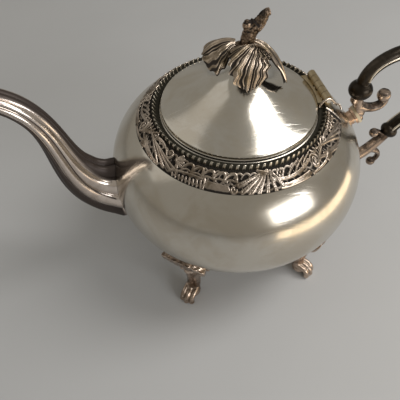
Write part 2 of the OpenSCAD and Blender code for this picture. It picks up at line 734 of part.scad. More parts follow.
// The middle of the joint's face at distance d beyond its socket, in the XZ plane.
function beyond(joint, d) =
    [joint[0][0] + (joint[2] + d) * cos(joint[1]), joint[0][2] + (joint[2] + d) * sin(joint[1])];
upper_face = beyond(upper_joint, scroll_face);
lower_face = beyond(lower_joint, scroll_face);

// Places its children at the end of a joint's socket, with +Z along it.
module at_joint(joint) {
    f = beyond(joint, 0);
    translate([f[0], 0, f[1]]) rotate([0, 90 - joint[1], 0]) children();
}

module socket(joint) {
    flange_t = 1.4;
    color(silver) difference() {
        at_joint(joint) {
            translate([0, 0, -2 * joint[2]]) cylinder(d = flange_dia - 2.6, h = 2 * joint[2] - flange_t / 2, $fn = 48);
            translate([0, 0, -flange_t]) cylinder(d = flange_dia, h = flange_t, $fn = 48);
        }
        at_joint(joint) {
            translate([0, 0, -tenon_len - 0.3])
                cylinder(r = tenon_dia / 2 + tenon_play, h = tenon_len + edge_overrun, $fn = small_round_faces);
            lock_pin(0.05, flange_dia * 2);
        }
        body_form();
    }
}

// The cross pin through a tenon.
module lock_pin(play, length) {
    translate([0, 0, -tenon_len / 2]) rotate([90, 0, 0])
        cylinder(r = lock_pin_dia / 2 + play, h = length, center = true, $fn = small_round_faces);
}

module insulator(joint) {
    color(cream) at_joint(joint) difference() {
        union() {
            translate([0, 0, joint_gap]) cylinder(d = flange_dia + 0.8, h = insulator_t, $fn = 48);
            translate([0, 0, -tenon_len])
                cylinder(d = tenon_dia, h = 2 * tenon_len + insulator_t, $fn = small_round_faces);
        }
        lock_pin(0.05, flange_dia);
    }
}

module handle_upper_socket() socket(upper_joint);
module handle_upper_insulator() insulator(upper_joint);
module handle_lower_socket() socket(lower_joint);
module handle_lower_insulator() insulator(lower_joint);

module handle_lock_pins() {
    color(silver) for (joint = [upper_joint, lower_joint]) at_joint(joint) lock_pin(0, flange_dia - 2.8);
}

module scroll_flange(joint) {
    at_joint(joint) translate([0, 0, scroll_face])
        cylinder(d1 = flange_dia, d2 = flange_dia - 2.4, h = scroll_flange_t, $fn = 20);
}

// Room for the tenon, and for all that lies before the scroll's flange.
module joint_room(joint) {
    at_joint(joint) {
        translate([0, 0, scroll_face - edge_overrun])
            cylinder(r = tenon_dia / 2 + tenon_play + 0.05, h = tenon_len + 0.4 + edge_overrun,
                $fn = small_round_faces);
        translate([0, 0, scroll_face - flange_dia])
            cylinder(d = flange_dia * 2.5, h = flange_dia, $fn = small_round_faces);
    }
}

module ball(at, d) translate([at[0], 0, at[1]]) sphere(d = d, $fn = 10);

// The grip: an ear-shaped bar between a knob and a collar.
knob = upper_face + [-knob_back, knob_rise];
grip_foot = lower_face + [grip_foot_out, grip_foot_rise];
grip_side = [handle_reach - grip_t * 0.46, (knob[1] + grip_foot[1]) / 2 + grip_side_rise];
grip_foot_tilt = 33;
grip_top_path = [knob + [0, knob_h * 0.3], knob + [0, grip_swing], grip_side + [0, grip_swing], grip_side];
grip_end_path = [grip_side, grip_side - [0, grip_swing * 0.5], grip_foot + grip_swing * [0.36, 0.56], grip_foot];

module handle_grip() {
    color(dark_silver) difference() {
        casting() {
            arm(grip_top_path, [grip_t * 0.5, grip_t * 0.5], [grip_t * 0.5, grip_t * 0.46], rings = 14, sides = 12);
            arm(grip_end_path, [grip_t * 0.5, grip_end_t * 0.5], [grip_t * 0.46, grip_end_t * 0.5], rings = 8,
                sides = 12);
            translate([knob[0], 0, knob[1]]) scale([1, 1, knob_h / knob_dia * 1.2]) sphere(d = knob_dia, $fn = 18);
            translate([grip_foot[0], 0, grip_foot[1]]) rotate([0, grip_foot_tilt, 0])
                scale([1, 1, 0.75]) sphere(d = grip_collar_dia, $fn = 14);
        }
        knob_seat(0);
        foot_seat(0);
    }
}

// The planes where the grip meets the two scrolls, moved by a gap.
module knob_seat(gap) {
    translate([knob[0], 0, knob[1] - knob_h * 0.45 - knob_dia + gap])
        cylinder(d = knob_dia * 2, h = knob_dia, $fn = small_round_faces);
}

module foot_seat(gap) {
    translate([grip_foot[0], 0, grip_foot[1]]) rotate([0, grip_foot_tilt, 0])
        translate([0, 0, -grip_collar_dia * 0.28 - grip_collar_dia + gap])
            cylinder(d = grip_collar_dia * 2, h = grip_collar_dia, $fn = small_round_faces);
}

// The stem from the upper insulator to the knob, with the flying scroll that leaves it.
module handle_upper_scroll() {
    f = upper_face;
    w = scroll_stem_w / 2;
    ball_at = f + [flight_reach, flight_rise];
    stem = [f, f + knob_rise * [-0.05, 0.29], knob + knob_rise * [-0.05, -0.76], knob - [0, knob_h * 0.2]];
    flight = [f + flight_reach * [-0.09, 0.5], f + flight_reach * [0.44, 0.13], f + flight_reach * [1.2, 0.1],
        ball_at + volute_ball_dia * [0.29, -0.29]];
    spur_at = f + flight_reach * [-0.48, 0.39];
    color(warm_silver) difference() {
        casting() {
            scroll_flange(upper_joint);
            arm(stem, w * [0.92, 0.84], w * [1, 0.84], rings = 6, sides = 10);
            arm(flight, w * [0.88, 0.64], w * [0.68, 0.48]);
            ball(ball_at, volute_ball_dia * 1.32);
            ball(spur_at, volute_ball_dia * 0.8);
        }
        joint_room(upper_joint);
        translate([knob[0], 0, knob[1] - knob_h * 0.45 - joint_gap])
            cylinder(d = knob_dia * 2, h = knob_dia, $fn = small_round_faces);
    }
}

// The lower arm, with a volute curling up and another curling down.
module handle_lower_scroll() {
    f = lower_face;
    w = scroll_stem_w / 2;
    fork = f + [fork_out, fork_rise];
    up_ball = fork + up_volute_rise * [-0.38, 1];
    down_ball = fork + down_volute_drop * [0.15, -1];
    stem = [f, f + fork_out * [0.53, -0.02], f + fork_out * [0.85, 0.21], grip_foot];
    up_curl = [fork - w * [0.4, 0.4], fork + up_volute_rise * [0.56, 0.32], fork + up_volute_rise * [0.24, 1.21],
        up_ball + volute_ball_dia * [0.14, 0.14]];
    down_curl = [fork - w * [0.6, 1], fork + down_volute_drop * [0.35, -0.4], fork + down_volute_drop * [0.5, -0.75],
        down_ball + volute_ball_dia * [0.14, 0]];
    color(warm_silver) difference() {
        casting() {
            scroll_flange(lower_joint);
            arm(stem, w * [1, 0.76], w * [0.96, 0.76], sides = 10);
            arm(up_curl, w * [0.64, 0.4], w * [0.48, 0.32]);
            arm(down_curl, w * [0.64, 0.4], w * [0.48, 0.32]);
            ball(up_ball, volute_ball_dia);
            ball(down_ball, volute_ball_dia);
        }
        joint_room(lower_joint);
        translate([grip_foot[0], 0, grip_foot[1]]) rotate([0, grip_foot_tilt, 0])
            translate([0, 0, -grip_collar_dia * 0.28 - joint_gap])
                cylinder(d = grip_collar_dia * 2, h = grip_collar_dia * 2, $fn = small_round_faces);
    }
}

body_shell();
gadroon_rim();
scroll_border();
spout();
foot_front_left();
foot_front_right();
foot_back_left();
foot_back_right();
hinge_leaf_body();
hinge_pin();
handle_upper_socket();
handle_upper_insulator();
handle_upper_scroll();
handle_grip();
handle_lower_scroll();
handle_lower_insulator();
handle_lower_socket();
handle_lock_pins();
lid_dome();
lid_bezel();
hinge_leaf_lid();
finial_twig();
finial_leaf_left();
finial_leaf_front();
finial_leaf_right();
finial_stud();
finial_washer();
finial_nut();
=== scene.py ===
"""A silver-plated teapot on four feet: finishes, worn castings, leaf and scroll work, and a plain stage.

Lengths in this file are in millimetres and angles in degrees unless a name says otherwise. The frame
is in metres, and so is every finished mesh.
"""

import math

import bpy
import numpy as np
from mathutils import Matrix, Quaternion, Vector, noise


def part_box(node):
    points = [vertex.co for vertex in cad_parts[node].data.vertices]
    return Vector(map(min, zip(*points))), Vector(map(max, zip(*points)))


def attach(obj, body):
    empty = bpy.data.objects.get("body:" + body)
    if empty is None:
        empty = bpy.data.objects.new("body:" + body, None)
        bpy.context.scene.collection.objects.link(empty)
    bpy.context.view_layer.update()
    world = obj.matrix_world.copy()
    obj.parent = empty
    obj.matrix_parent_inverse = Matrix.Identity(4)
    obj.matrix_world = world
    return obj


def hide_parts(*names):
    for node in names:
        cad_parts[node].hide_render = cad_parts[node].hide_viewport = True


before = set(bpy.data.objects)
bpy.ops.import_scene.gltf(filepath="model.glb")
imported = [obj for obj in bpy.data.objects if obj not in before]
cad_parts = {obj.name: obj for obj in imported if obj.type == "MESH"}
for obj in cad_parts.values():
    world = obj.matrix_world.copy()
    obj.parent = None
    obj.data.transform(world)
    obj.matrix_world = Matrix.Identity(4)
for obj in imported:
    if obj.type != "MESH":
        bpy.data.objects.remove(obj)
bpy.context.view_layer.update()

MM = 0.001
MERGE = 1e-3 * MM  # points closer than this are one point
ROUND_STEPS = 256  # steps in a full turn of the body and the lid


# ---- sizes taken from the frame, and the curves of the body and the lid ----

def frame_box(node):
    """The lowest and highest corner of a CAD node, in millimetres."""
    low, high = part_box(node)
    return low / MM, high / MM


body_low, body_high = frame_box("body_shell")
lid_low, lid_high = frame_box("lid_dome")
bezel_high = frame_box("lid_bezel")[1]

BODY_R = body_high.y
BODY_FOOT_Z = body_low.z
SEAT_Z = body_high.z
BELLY_Z = 88
UPPER_RISE = 56.4
LOWER_DROP = BELLY_Z - BODY_FOOT_Z
SQUARENESS = 2.25
BODY_WALL = 1.2
MOUTH_R = 45.5
COLLAR_R = 48.7

LID_R = lid_high.x
LID_EDGE_Z = lid_low.z
LID_EDGE = 1.7
LID_TOP_Z = LID_EDGE_Z + LID_EDGE
CROWN_Z = lid_high.z
CROWN_R = 6.5
LID_WALL = 1.1
BEZEL_R = bezel_high.x

SEAM = 0.12
RIM_INNER_R = COLLAR_R + 0.9
RIM_OUTER_R = 53.9
BORDER_INNER_R = RIM_OUTER_R + SEAM
BORDER_OUTER_R = BORDER_INNER_R + 10.8
BORDER_MID_R = (BORDER_INNER_R + BORDER_OUTER_R) / 2
HINGE_GAP_HALF = 15.6


def bezier(points, t):
    """The point at share t of a cubic Bezier curve."""
    weights = ((1 - t) ** 3, 3 * (1 - t) ** 2 * t, 3 * (1 - t) * t * t, t ** 3)
    return sum((Vector(p) * w for p, w in zip(points, weights)), Vector([0] * len(points[0])))


def hoop(half_w, half_h, start, end, steps):
    """Points (radius, height above the belly line) of a squarish curve between two angles."""
    angles = np.radians(np.linspace(start, end, steps + 1))
    power = 2 / SQUARENESS
    radii = half_w * np.clip(np.cos(angles), 0, 1) ** power
    heights = half_h * np.sin(np.abs(angles)) ** power * np.sign(angles)
    return [(float(r), BELLY_Z + float(z)) for r, z in zip(radii, heights)]


def hoop_angle(half_w, radius):
    """The angle at which that curve comes in to a radius."""
    return math.degrees(math.acos((radius / half_w) ** (SQUARENESS / 2)))


def body_curve(inset, mouth):
    """The body's section from its bottom to the radius of the mouth, moved inward."""
    a = BODY_R - inset
    lower = hoop(a, LOWER_DROP - inset, -90, 0, 40)
    upper = hoop(a, UPPER_RISE - inset, 0, hoop_angle(a, mouth), 40)
    return lower + upper[1:]


def shoulder_z(radius):
    """The height of the body's shoulder at a radius."""
    return BELLY_Z + UPPER_RISE * (1 - (radius / BODY_R) ** SQUARENESS) ** (1 / SQUARENESS)


def body_radius(z):
    """The body's radius at a height."""
    reach = UPPER_RISE if z > BELLY_Z else LOWER_DROP
    return BODY_R * (1 - (abs(z - BELLY_Z) / reach) ** SQUARENESS) ** (1 / SQUARENESS)


# ---- work at the bench: selecting, spinning, drawing out, joining ----

def primitive(operator, **settings):
    """Adds a primitive with nothing else selected."""
    bpy.ops.object.select_all(action="DESELECT")
    operator(**settings)
    return bpy.context.object


def only(*objects):
    """Selects these objects and nothing else; the first is the active one."""
    bpy.ops.object.select_all(action="DESELECT")
    for obj in objects:
        obj.select_set(True)
    bpy.context.view_layer.objects.active = objects[0]
    return objects[0]


def modify(obj, kind, **settings):
    """Puts one modifier on a piece and applies it."""
    only(obj)
    modifier = obj.modifiers.new(kind.title(), kind)
    for key, value in settings.items():
        setattr(modifier, key, value)
    bpy.ops.object.modifier_apply(modifier=modifier.name)
    return obj


def clean(obj):
    """Merges doubled points and turns all faces outwards."""
    only(obj)
    bpy.ops.object.mode_set(mode="EDIT")
    bpy.ops.mesh.select_all(action="SELECT")
    bpy.ops.mesh.remove_doubles(threshold=MERGE)
    bpy.ops.mesh.normals_make_consistent(inside=False)
    bpy.ops.object.mode_set(mode="OBJECT")
    return obj


def close_up(obj):
    """Merges the doubled points of a sheet that meets itself, and fills its open ends."""
    only(obj)
    bpy.ops.object.mode_set(mode="EDIT")
    bpy.ops.mesh.select_all(action="SELECT")
    bpy.ops.mesh.remove_doubles(threshold=MERGE)
    bpy.ops.mesh.fill_holes(sides=0)
    bpy.ops.object.mode_set(mode="OBJECT")
    return clean(obj)


def settle(obj, name, smooth=35):
    """Names a piece, puts its place in its mesh and smooths it up to an angle."""
    only(obj)
    obj.name = obj.data.name = name
    bpy.ops.object.transform_apply(location=True, rotation=True, scale=True)
    bpy.ops.object.shade_smooth_by_angle(angle=math.radians(smooth))
    return obj


def join(first, *others):
    """Joins pieces into the first one."""
    only(first, *others)
    bpy.ops.object.join()
    return first


def turned(section, steps):
    """Spins a section of (radius, height) about the Z axis."""
    (radius, height) = section[0]
    obj = primitive(bpy.ops.mesh.primitive_plane_add, size=MM, location=(radius * MM, 0, height * MM))
    bpy.ops.object.transform_apply(location=True)
    bpy.ops.object.mode_set(mode="EDIT")
    bpy.ops.mesh.merge(type="CENTER")
    for (r0, z0), (r1, z1) in zip(section, section[1:]):
        step = ((r1 - r0) * MM, 0, (z1 - z0) * MM)
        bpy.ops.mesh.extrude_region_move(TRANSFORM_OT_translate={"value": step})
    bpy.ops.mesh.select_all(action="SELECT")
    bpy.ops.mesh.remove_doubles(threshold=MERGE)
    bpy.ops.mesh.spin(steps=steps, angle=math.tau, center=(0, 0, 0), axis=(0, 0, 1))
    bpy.ops.object.mode_set(mode="OBJECT")
    return clean(obj)


def sheet_of_points(points):
    """A mesh over rows of points: a grid whose points are put in place."""
    rows, columns = points.shape[:2]
    obj = primitive(bpy.ops.mesh.primitive_grid_add, x_subdivisions=columns - 1, y_subdivisions=rows - 1,
                    size=MM)
    obj.data.vertices.foreach_set("co", (points.reshape(-1, 3) * MM).ravel())
    obj.data.update()
    return obj


def drawn_out(ring, path, facings, sizes):
    """Draws a ring of points out along a path in the XZ plane.

    ring holds points (across, up) of a section of size 1; path its centres (x, z); facings the
    angle of each section's normal above the X axis; and sizes its (half width, half height)."""
    obj = primitive(bpy.ops.mesh.primitive_circle_add, vertices=len(ring), radius=MM)
    (x, z), facing, (half_w, half_h) = path[0], facings[0], sizes[0]
    normal = Vector((-math.sin(math.radians(facing)), 0, math.cos(math.radians(facing))))
    for vertex, (across, up) in zip(obj.data.vertices, ring):
        vertex.co = (Vector((x, across * half_w, z)) + normal * up * half_h) * MM
    bpy.ops.object.mode_set(mode="EDIT")
    bpy.ops.mesh.select_all(action="SELECT")
    for k in range(1, len(path)):
        x, z = path[k]
        centre = (x * MM, 0, z * MM)
        step = ((x - path[k - 1][0]) * MM, 0, (z - path[k - 1][1]) * MM)
        bpy.ops.mesh.extrude_region_move(TRANSFORM_OT_translate={"value": step})
        turn = math.radians(facings[k] - facings[k - 1])
        bpy.ops.transform.rotate(value=turn, orient_axis="Y", orient_type="GLOBAL", center_override=centre)
        wider = sizes[k][0] / sizes[k - 1][0]
        higher = sizes[k][1] / sizes[k - 1][1]
        bpy.ops.transform.resize(value=(higher, wider, higher), orient_type="GLOBAL", center_override=centre)
    bpy.ops.object.mode_set(mode="OBJECT")
    return obj


def angle_of(heading):
    """The angle of a direction in a plane, counted from its first axis."""
    return math.degrees(math.atan2(heading[1], heading[0]))


def arm(curve, half_w, half_h, steps=18, sides=20):
    """A bar of oval section that tapers along a Bezier curve in the XZ plane. half_w and half_h
    are its half width and half height at its two ends."""
    glance = 0.01
    path, ahead, sizes = [], [], []
    for k in range(steps + 1):
        share = k / steps
        path.append(bezier(curve, share))
        ahead.append(bezier(curve, min(1, share + glance)) - bezier(curve, max(0, share - glance)))
        sizes.append([start + (end - start) * k / steps for start, end in (half_w, half_h)])
    facings = [angle_of(ahead[0])]
    for heading in ahead[1:]:
        turn = (angle_of(heading) - facings[-1] + 180) % 360 - 180
        facings.append(facings[-1] + turn)
    ring = [(math.cos(math.tau * j / sides), math.sin(math.tau * j / sides)) for j in range(sides)]
    obj = drawn_out(ring, path, facings, sizes)
    bpy.ops.object.mode_set(mode="EDIT")
    bpy.ops.mesh.select_all(action="SELECT")
    bpy.ops.mesh.fill_holes(sides=sides + 1)
    bpy.ops.object.mode_set(mode="OBJECT")
    return clean(obj)


def ball(centre, radius, squash=(1, 1, 1), tilt=0):
    """A round drop of metal, flattened and tilted about the Y axis."""
    primitive(bpy.ops.mesh.primitive_uv_sphere_add, segments=32, ring_count=16, radius=radius * MM,
              location=Vector(centre) * MM, scale=squash, rotation=(0, math.radians(tilt), 0))
    bpy.ops.object.transform_apply(location=True, rotation=True, scale=True)
    return bpy.context.object


def disc(centre, radius, thickness, tilt, taper=1):
    """A flat round disc with a softened edge, its axis tilted from Z towards +X."""
    edge = 0.3
    primitive(bpy.ops.mesh.primitive_cone_add, vertices=48, radius1=radius * MM, radius2=radius * taper * MM,
              depth=thickness * MM, location=Vector(centre) * MM, rotation=(0, math.radians(tilt), 0))
    bpy.ops.object.transform_apply(location=True, rotation=True)
    return modify(bpy.context.object, "BEVEL", width=edge * MM, segments=3, limit_method="ANGLE")


def cast(parts, voxel, relax=2):
    """Fuses parts into one casting on a grid of voxels, with joins that are softened relax times."""
    obj = join(*parts)
    modify(obj, "REMESH", mode="VOXEL", voxel_size=voxel * MM)
    return modify(obj, "SMOOTH", factor=0.5, iterations=relax)


def cut(obj, *tools):
    """Cuts tools out of a piece and removes them."""
    for tool in tools:
        modify(obj, "BOOLEAN", operation="DIFFERENCE", object=tool, solver="EXACT")
        bpy.data.objects.remove(tool)
    return obj


# ---- the body and the lid ----

def strainer_drills():
    """A hexagon of drills for the strainer behind the spout, as one tool."""
    pitch, radius, length, rings, middle_z = 5.2, 1.5, 18, 2, 80
    row_pitch = pitch * math.sin(math.radians(60))
    drills = []
    for i in range(-rings, rings + 1):
        for j in range(-rings, rings + 1):
            if abs(i + j) > rings:
                continue
            place = (-BODY_R, (i + j / 2) * pitch, middle_z + j * row_pitch)
            drills.append(primitive(bpy.ops.mesh.primitive_cylinder_add, vertices=24, radius=radius * MM,
                                    depth=length * MM, location=Vector(place) * MM,
                                    rotation=(0, math.pi / 2, 0)))
    return join(*drills)


def make_body():
    """The bowl in one wall, with the collar round its mouth and the strainer's holes."""
    lip = 0.35
    rim = [(COLLAR_R, SEAT_Z - lip), (COLLAR_R - lip, SEAT_Z), (MOUTH_R + lip, SEAT_Z),
           (MOUTH_R, SEAT_Z - lip)]
    body = turned(body_curve(0, COLLAR_R) + rim + body_curve(BODY_WALL, MOUTH_R)[::-1], ROUND_STEPS)
    return settle(cut(body, strainer_drills()), "body")


def make_lid():
    """The bell of the lid: a rolled edge, a flat skirt, a waist, and a crown under the finial."""
    steps, edge_points, edge_end = 48, 9, 67
    lid_h = CROWN_Z - LID_TOP_Z
    lip, inner_r, crown_wall, stud_hole_r = LID_EDGE / 2, BEZEL_R + 0.05, LID_WALL * 1.4, 1.6
    skirt_r, skirt_z = 30, LID_TOP_Z + 7.5
    waist_r, waist_z = CROWN_R + 2.5, LID_TOP_Z + lid_h * 0.42
    edge = [(LID_R - lip + lip * math.cos(a), LID_TOP_Z - lip + lip * math.sin(a))
            for a in np.radians(np.linspace(-90, edge_end, edge_points))]
    outside = [edge[-1], (skirt_r, skirt_z), (waist_r, waist_z), (CROWN_R, CROWN_Z)]
    inside = [(inner_r, LID_TOP_Z - LID_WALL / 2), (skirt_r - LID_WALL, skirt_z - LID_WALL),
              (waist_r - LID_WALL, waist_z - LID_WALL), (CROWN_R - LID_WALL, CROWN_Z - crown_wall)]
    section = [(inner_r, LID_EDGE_Z)] + edge
    section += [tuple(bezier(outside, k / steps)) for k in range(1, steps + 1)]
    section += [(stud_hole_r, CROWN_Z), (stud_hole_r, CROWN_Z - crown_wall)]
    section += [tuple(bezier(inside, k / steps)) for k in range(steps, -1, -1)]
    section.append(section[0])
    return settle(turned(section, ROUND_STEPS), "lid")


# ---- the gadroon rim and the scroll border ----

def ring_turns(radius, columns):
    """Angles of the columns of a ring that is open at the hinge, for points at a radius."""
    gap = math.degrees(math.asin(HINGE_GAP_HALF / radius))
    return np.radians(np.linspace(gap, 360 - gap, columns))


def gadroon_lobes(turns, across):
    """Height of the slanting lobes, from 0 in the creases to 1 on the crowns."""
    lobes, slant, width = 92, 0.9, 0.2 + 0.4 * across
    phase = ((turns / math.tau * lobes + slant * across) % 1 * 2 - 1) / width
    return np.sqrt(np.clip(1 - phase ** 2, 0, 1))


def make_gadroon_rim():
    """A row of slanting lobes on the outer side of a cove that runs down to the lid."""
    columns, rise, lobe_depth, bare_end, cove = 1380, 1.1, 1.1, 4, 0.7
    # each point of the section: its share across, its share of the height, and how far the
    # creases between the lobes cut in there
    profile = [(0.0, 0.0, 0), (0.0, 0.2, 0), (0.12, 0.2, 0), (0.28, 0.28, 0.2), (0.42, 0.4, 0.5),
               (0.54, 0.56, 0.9), (0.64, 0.76, 1), (0.74, 0.93, 1), (0.82, 1.0, 1), (0.89, 0.95, 1),
               (0.95, 0.75, 1), (1.0, 0.4, 0.6), (1.0, 0.0, 0), (0.0, 0.0, 0)]
    crest_z = SEAT_Z + rise
    points = np.zeros((columns, len(profile), 3))
    hollow = np.zeros((columns, len(profile)))
    turns = ring_turns(RIM_OUTER_R, columns)
    from_end = np.minimum(turns - turns[0], turns[-1] - turns) * RIM_OUTER_R
    for k, (across, height, lobed) in enumerate(profile):
        radius = RIM_INNER_R + (RIM_OUTER_R - RIM_INNER_R) * across
        lobe = gadroon_lobes(turns, across) * (from_end > bare_end)
        foot_z = shoulder_z(radius) + SEAM
        crease = lobe_depth * lobed * (1 - lobe)
        points[:, k, 0] = radius * np.cos(turns)
        points[:, k, 1] = radius * np.sin(turns)
        points[:, k, 2] = foot_z + np.maximum((crest_z - foot_z) * height - crease, 0)
        hollow[:, k] = np.clip(1.15 - lobe + 1.3 * max(cove - across, 0), 0, 1)
    return carved_ring("gadroon_band", points, hollow)


def carved_ring(name, points, hollow):
    """A closed ring of sections with its hollows kept as an attribute for the finish."""
    obj = sheet_of_points(points)
    layer = obj.data.attributes.new("hollow", "FLOAT", "POINT")
    layer.data.foreach_set("value", hollow.ravel())
    return settle(close_up(obj), name, smooth=50)


def ridge(x, y, spine, start_w, end_w, height=1.0, vein=0.0):
    """Relief of a raised band along a spine of points, round across and tapering along."""
    relief = np.zeros_like(x)
    count = len(spine) - 1
    for k, ((x0, y0), (x1, y1)) in enumerate(zip(spine, spine[1:])):
        run_x, run_y = x1 - x0, y1 - y0
        share = np.clip(((x - x0) * run_x + (y - y0) * run_y) / (run_x ** 2 + run_y ** 2 + 1e-9), 0, 1)
        distance = np.hypot(x - x0 - run_x * share, y - y0 - run_y * share)
        half_w = start_w + (end_w - start_w) * (k + share) / count
        off = distance / half_w
        part = np.sqrt(np.clip(1 - off ** 2, 0, 1)) - vein * np.exp(-(off / 0.22) ** 2)
        relief = np.maximum(relief, part * height)
    return relief


def swing(start, lean_a, lean_b, end):
    """Points of a flowing line."""
    steps = 12
    return [tuple(bezier([start, lean_a, lean_b, end], k / steps)) for k in range(steps + 1)]


def volute(centre, radius, first, turns):
    """Points of a spiral that winds in to its centre from an angle."""
    steps, points = 26, []
    for k in range(steps + 1):
        share = k / steps
        angle = math.radians(first) + math.tau * turns * share
        reach = radius * (1 - 0.82 * share)
        points.append((centre[0] + reach * math.cos(angle), centre[1] + reach * math.sin(angle)))
    return points


def border_motifs():
    """One repeat of the border: (spine, half width at start, half width at end, height, vein).
    A spine's points are in millimetres along the ring and across it from its inner edge."""
    motifs = []

    def add(spine, start_w, end_w, height=1.0, vein=0.0):
        motifs.append((spine, start_w, end_w, height, vein))

    # long flowing strands that end in drops at the outer edge
    for k in range(4):
        shift = k * 3.4
        end = (20 + shift * 1.3, 10.2 - 0.7 * k)
        add(swing((-3 + shift, 2.4 + 0.5 * k), (6 + shift, 3.4), (14 + shift, 6.2), end), 0.45, 0.85, 0.95)
    for k in range(3):
        end = (12 + 3.4 * k, 10.6)
        add(swing((-6 + 3 * k, 6.2), (3 * k, 8), (6 + 3 * k, 9), end), 0.4, 0.75, 0.8)
    # two scrolls on the inner side with leaves between them
    add(volute((6.5, 2.6), 2.4, 200, 1.4), 0.75, 0.5)
    add([(6.5, 2.6), (6.6, 2.6)], 0.8, 0.8)
    add(swing((9, 1.6), (13, 0.6), (18, 1), (21, 3.6)), 0.9, 0.6, 0.9, 0.3)
    add(volute((24, 2.9), 2.6, 160, -1.3), 0.8, 0.5)
    add([(24, 2.9), (24.1, 2.9)], 0.8, 0.8)
    for k in range(5):
        angle = math.radians(-60 + 32 * k)
        tip = (30.5 + 4.2 * math.cos(angle), 3.4 + 3.2 * math.sin(angle))
        add([(29, 3.4), tip], 0.45, 0.95, 0.85, 0.3)
    # a running stem with curled tips
    for k in range(5):
        root = 35 + 6.4 * k
        add(swing((root, 5.6), (root + 3, 1.2), (root + 7, 1.4), (root + 6.6, 4.6)), 0.5, 1.15, 1.0)
        add(swing((root + 1, 5.8), (root + 4, 4.4), (root + 5, 5.6), (root + 8, 6.2)), 0.7, 0.5, 0.75)
    # a reeded horn, its collar, a smooth bar and an eye
    for k in range(9):
        share = k / 8
        add([(31 + 17 * share, 9.2 - 1.2 * share), (31.7 + 17 * share, 10.5)], 0.55 + 0.35 * share, 0.5, 0.8)
    add(swing((29, 8.6), (36, 6.6), (42, 6.4), (48.5, 6.6)), 0.6, 0.6, 0.85)
    add([(50, 6.6), (50, 10.6)], 0.75, 0.75, 1.0)
    add([(51.5, 8.6), (63, 9.0)], 1.75, 1.35, 0.8)
    add([(51.5, 7.2), (63, 7.9)], 0.35, 0.35, 0.95)
    add(volute((65.8, 9.0), 1.9, 0, 1.0), 0.6, 0.6)
    # a burst of leaves from the inner edge
    tips = [(68.5, 7.2), (70.5, 9.9), (74.5, 10.7), (79, 10.5), (83.5, 10.7), (88, 10.5), (92.5, 9.4)]
    for k, tip in enumerate(tips):
        root = (82.5 + 0.7 * k, 1.4 + 0.25 * abs(k - 3))
        bend = (root[0] * 0.6 + tip[0] * 0.4, root[1] * 0.45 + tip[1] * 0.55 - 1.2)
        add(swing(root, bend, bend, tip), 0.7, 1.25, 1.0, 0.45)
    add([(79, 0.9), (84.5, 2.6)], 0.9, 1.2, 0.9)
    # a flower
    for k in range(6):
        angle = math.tau * k / 6
        petal = (92.3 + 1.9 * math.cos(angle), 3.6 + 1.7 * math.sin(angle))
        add([petal, (petal[0] + 0.05, petal[1])], 0.95, 0.95, 0.95)
    add([(92.3, 3.6), (92.35, 3.6)], 0.7, 0.7, 1.0)
    # the long stem that winds into the great volute, and leaves along it
    add(swing((86, 5.4), (94, 7.6), (104, 7.4), (112, 4.0)), 0.7, 1.0, 1.0, 0.3)
    add(volute((116, 6.1), 3.5, 210, 1.75), 0.95, 0.55)
    add([(116, 6.1), (116.1, 6.1)], 1.1, 1.1)
    for k in range(3):
        shift = 4.6 * k
        add(swing((97 + shift, 5.8), (99 + shift, 3.6), (102 + shift, 2.6), (106 + shift, 1.2)),
            0.8, 0.55, 0.9, 0.3)
    add(swing((93, 9.0), (99, 9.9), (104, 9.3), (109.5, 8.9)), 0.6, 1.3, 1.0)
    add(swing((91, 10.2), (97, 10.9), (103, 10.9), (108.5, 10.5)), 0.5, 0.95, 0.95)
    add(swing((111.5, 10.4), (114, 9.9), (119, 10.2), (123, 9.6)), 0.6, 0.8, 0.9)
    # a fan behind the volute, and a shell on the outer edge
    for k in range(5):
        end = (116.5 + 3.1 * k, 0.7)
        add(swing((119.5 + 0.6 * k, 7.4 - 0.5 * k), (119.5 + 1.4 * k, 4.4), (118.5 + 2.2 * k, 2.6), end),
            0.75, 0.6, 0.9)
    for k in range(5):
        angle = math.radians(20 + 35 * k)
        tip = (127 + 2.7 * math.cos(angle), 8.4 + 2.4 * math.sin(angle))
        add([(127, 8.2), tip], 0.5, 0.95, 0.95)
    # small leaves and curls, lower than the rest, wherever the ground would show
    for k in range(31):
        root, vein = 4.1 * k, 0.35
        add(swing((root, 4.4), (root + 1.2, 2.0), (root + 3, 1.2), (root + 4.6, 2.6)), 0.45, 0.85, 0.66, vein)
        add(swing((root + 2, 5.0), (root + 2.6, 7.2), (root + 5, 8.2), (root + 6.4, 6.4)),
            0.4, 0.85, 0.62, vein)
        add(swing((root + 0.5, 8.0), (root + 1.6, 9.8), (root + 3.4, 10.3), (root + 4.8, 9.3)),
            0.4, 0.75, 0.6, vein)
    return motifs


def border_relief(turns, across):
    """Height of the border's carving, from 0 on its ground to 1 on its crests."""
    repeats, first = 3, 188
    sector = 360 / repeats
    length = math.tau * BORDER_MID_R / repeats
    along = (np.degrees(turns) - first) % sector * length / sector
    relief = 0.12 + 0.1 * np.cos(along * 3.7 + across) * np.cos(across * 3.9 - along * 0.7)
    for spine, start_w, end_w, height, vein in border_motifs():
        reach = max(start_w, end_w)
        low = min(p[0] for p in spine) - reach
        high = max(p[0] for p in spine) + reach
        for shift in (-length, 0, length):
            near = (along + shift > low) & (along + shift < high)
            if near.any():
                part = ridge(along[near] + shift, across[near], spine, start_w, end_w, height, vein)
                relief[near] = np.maximum(relief[near], part)
    return relief


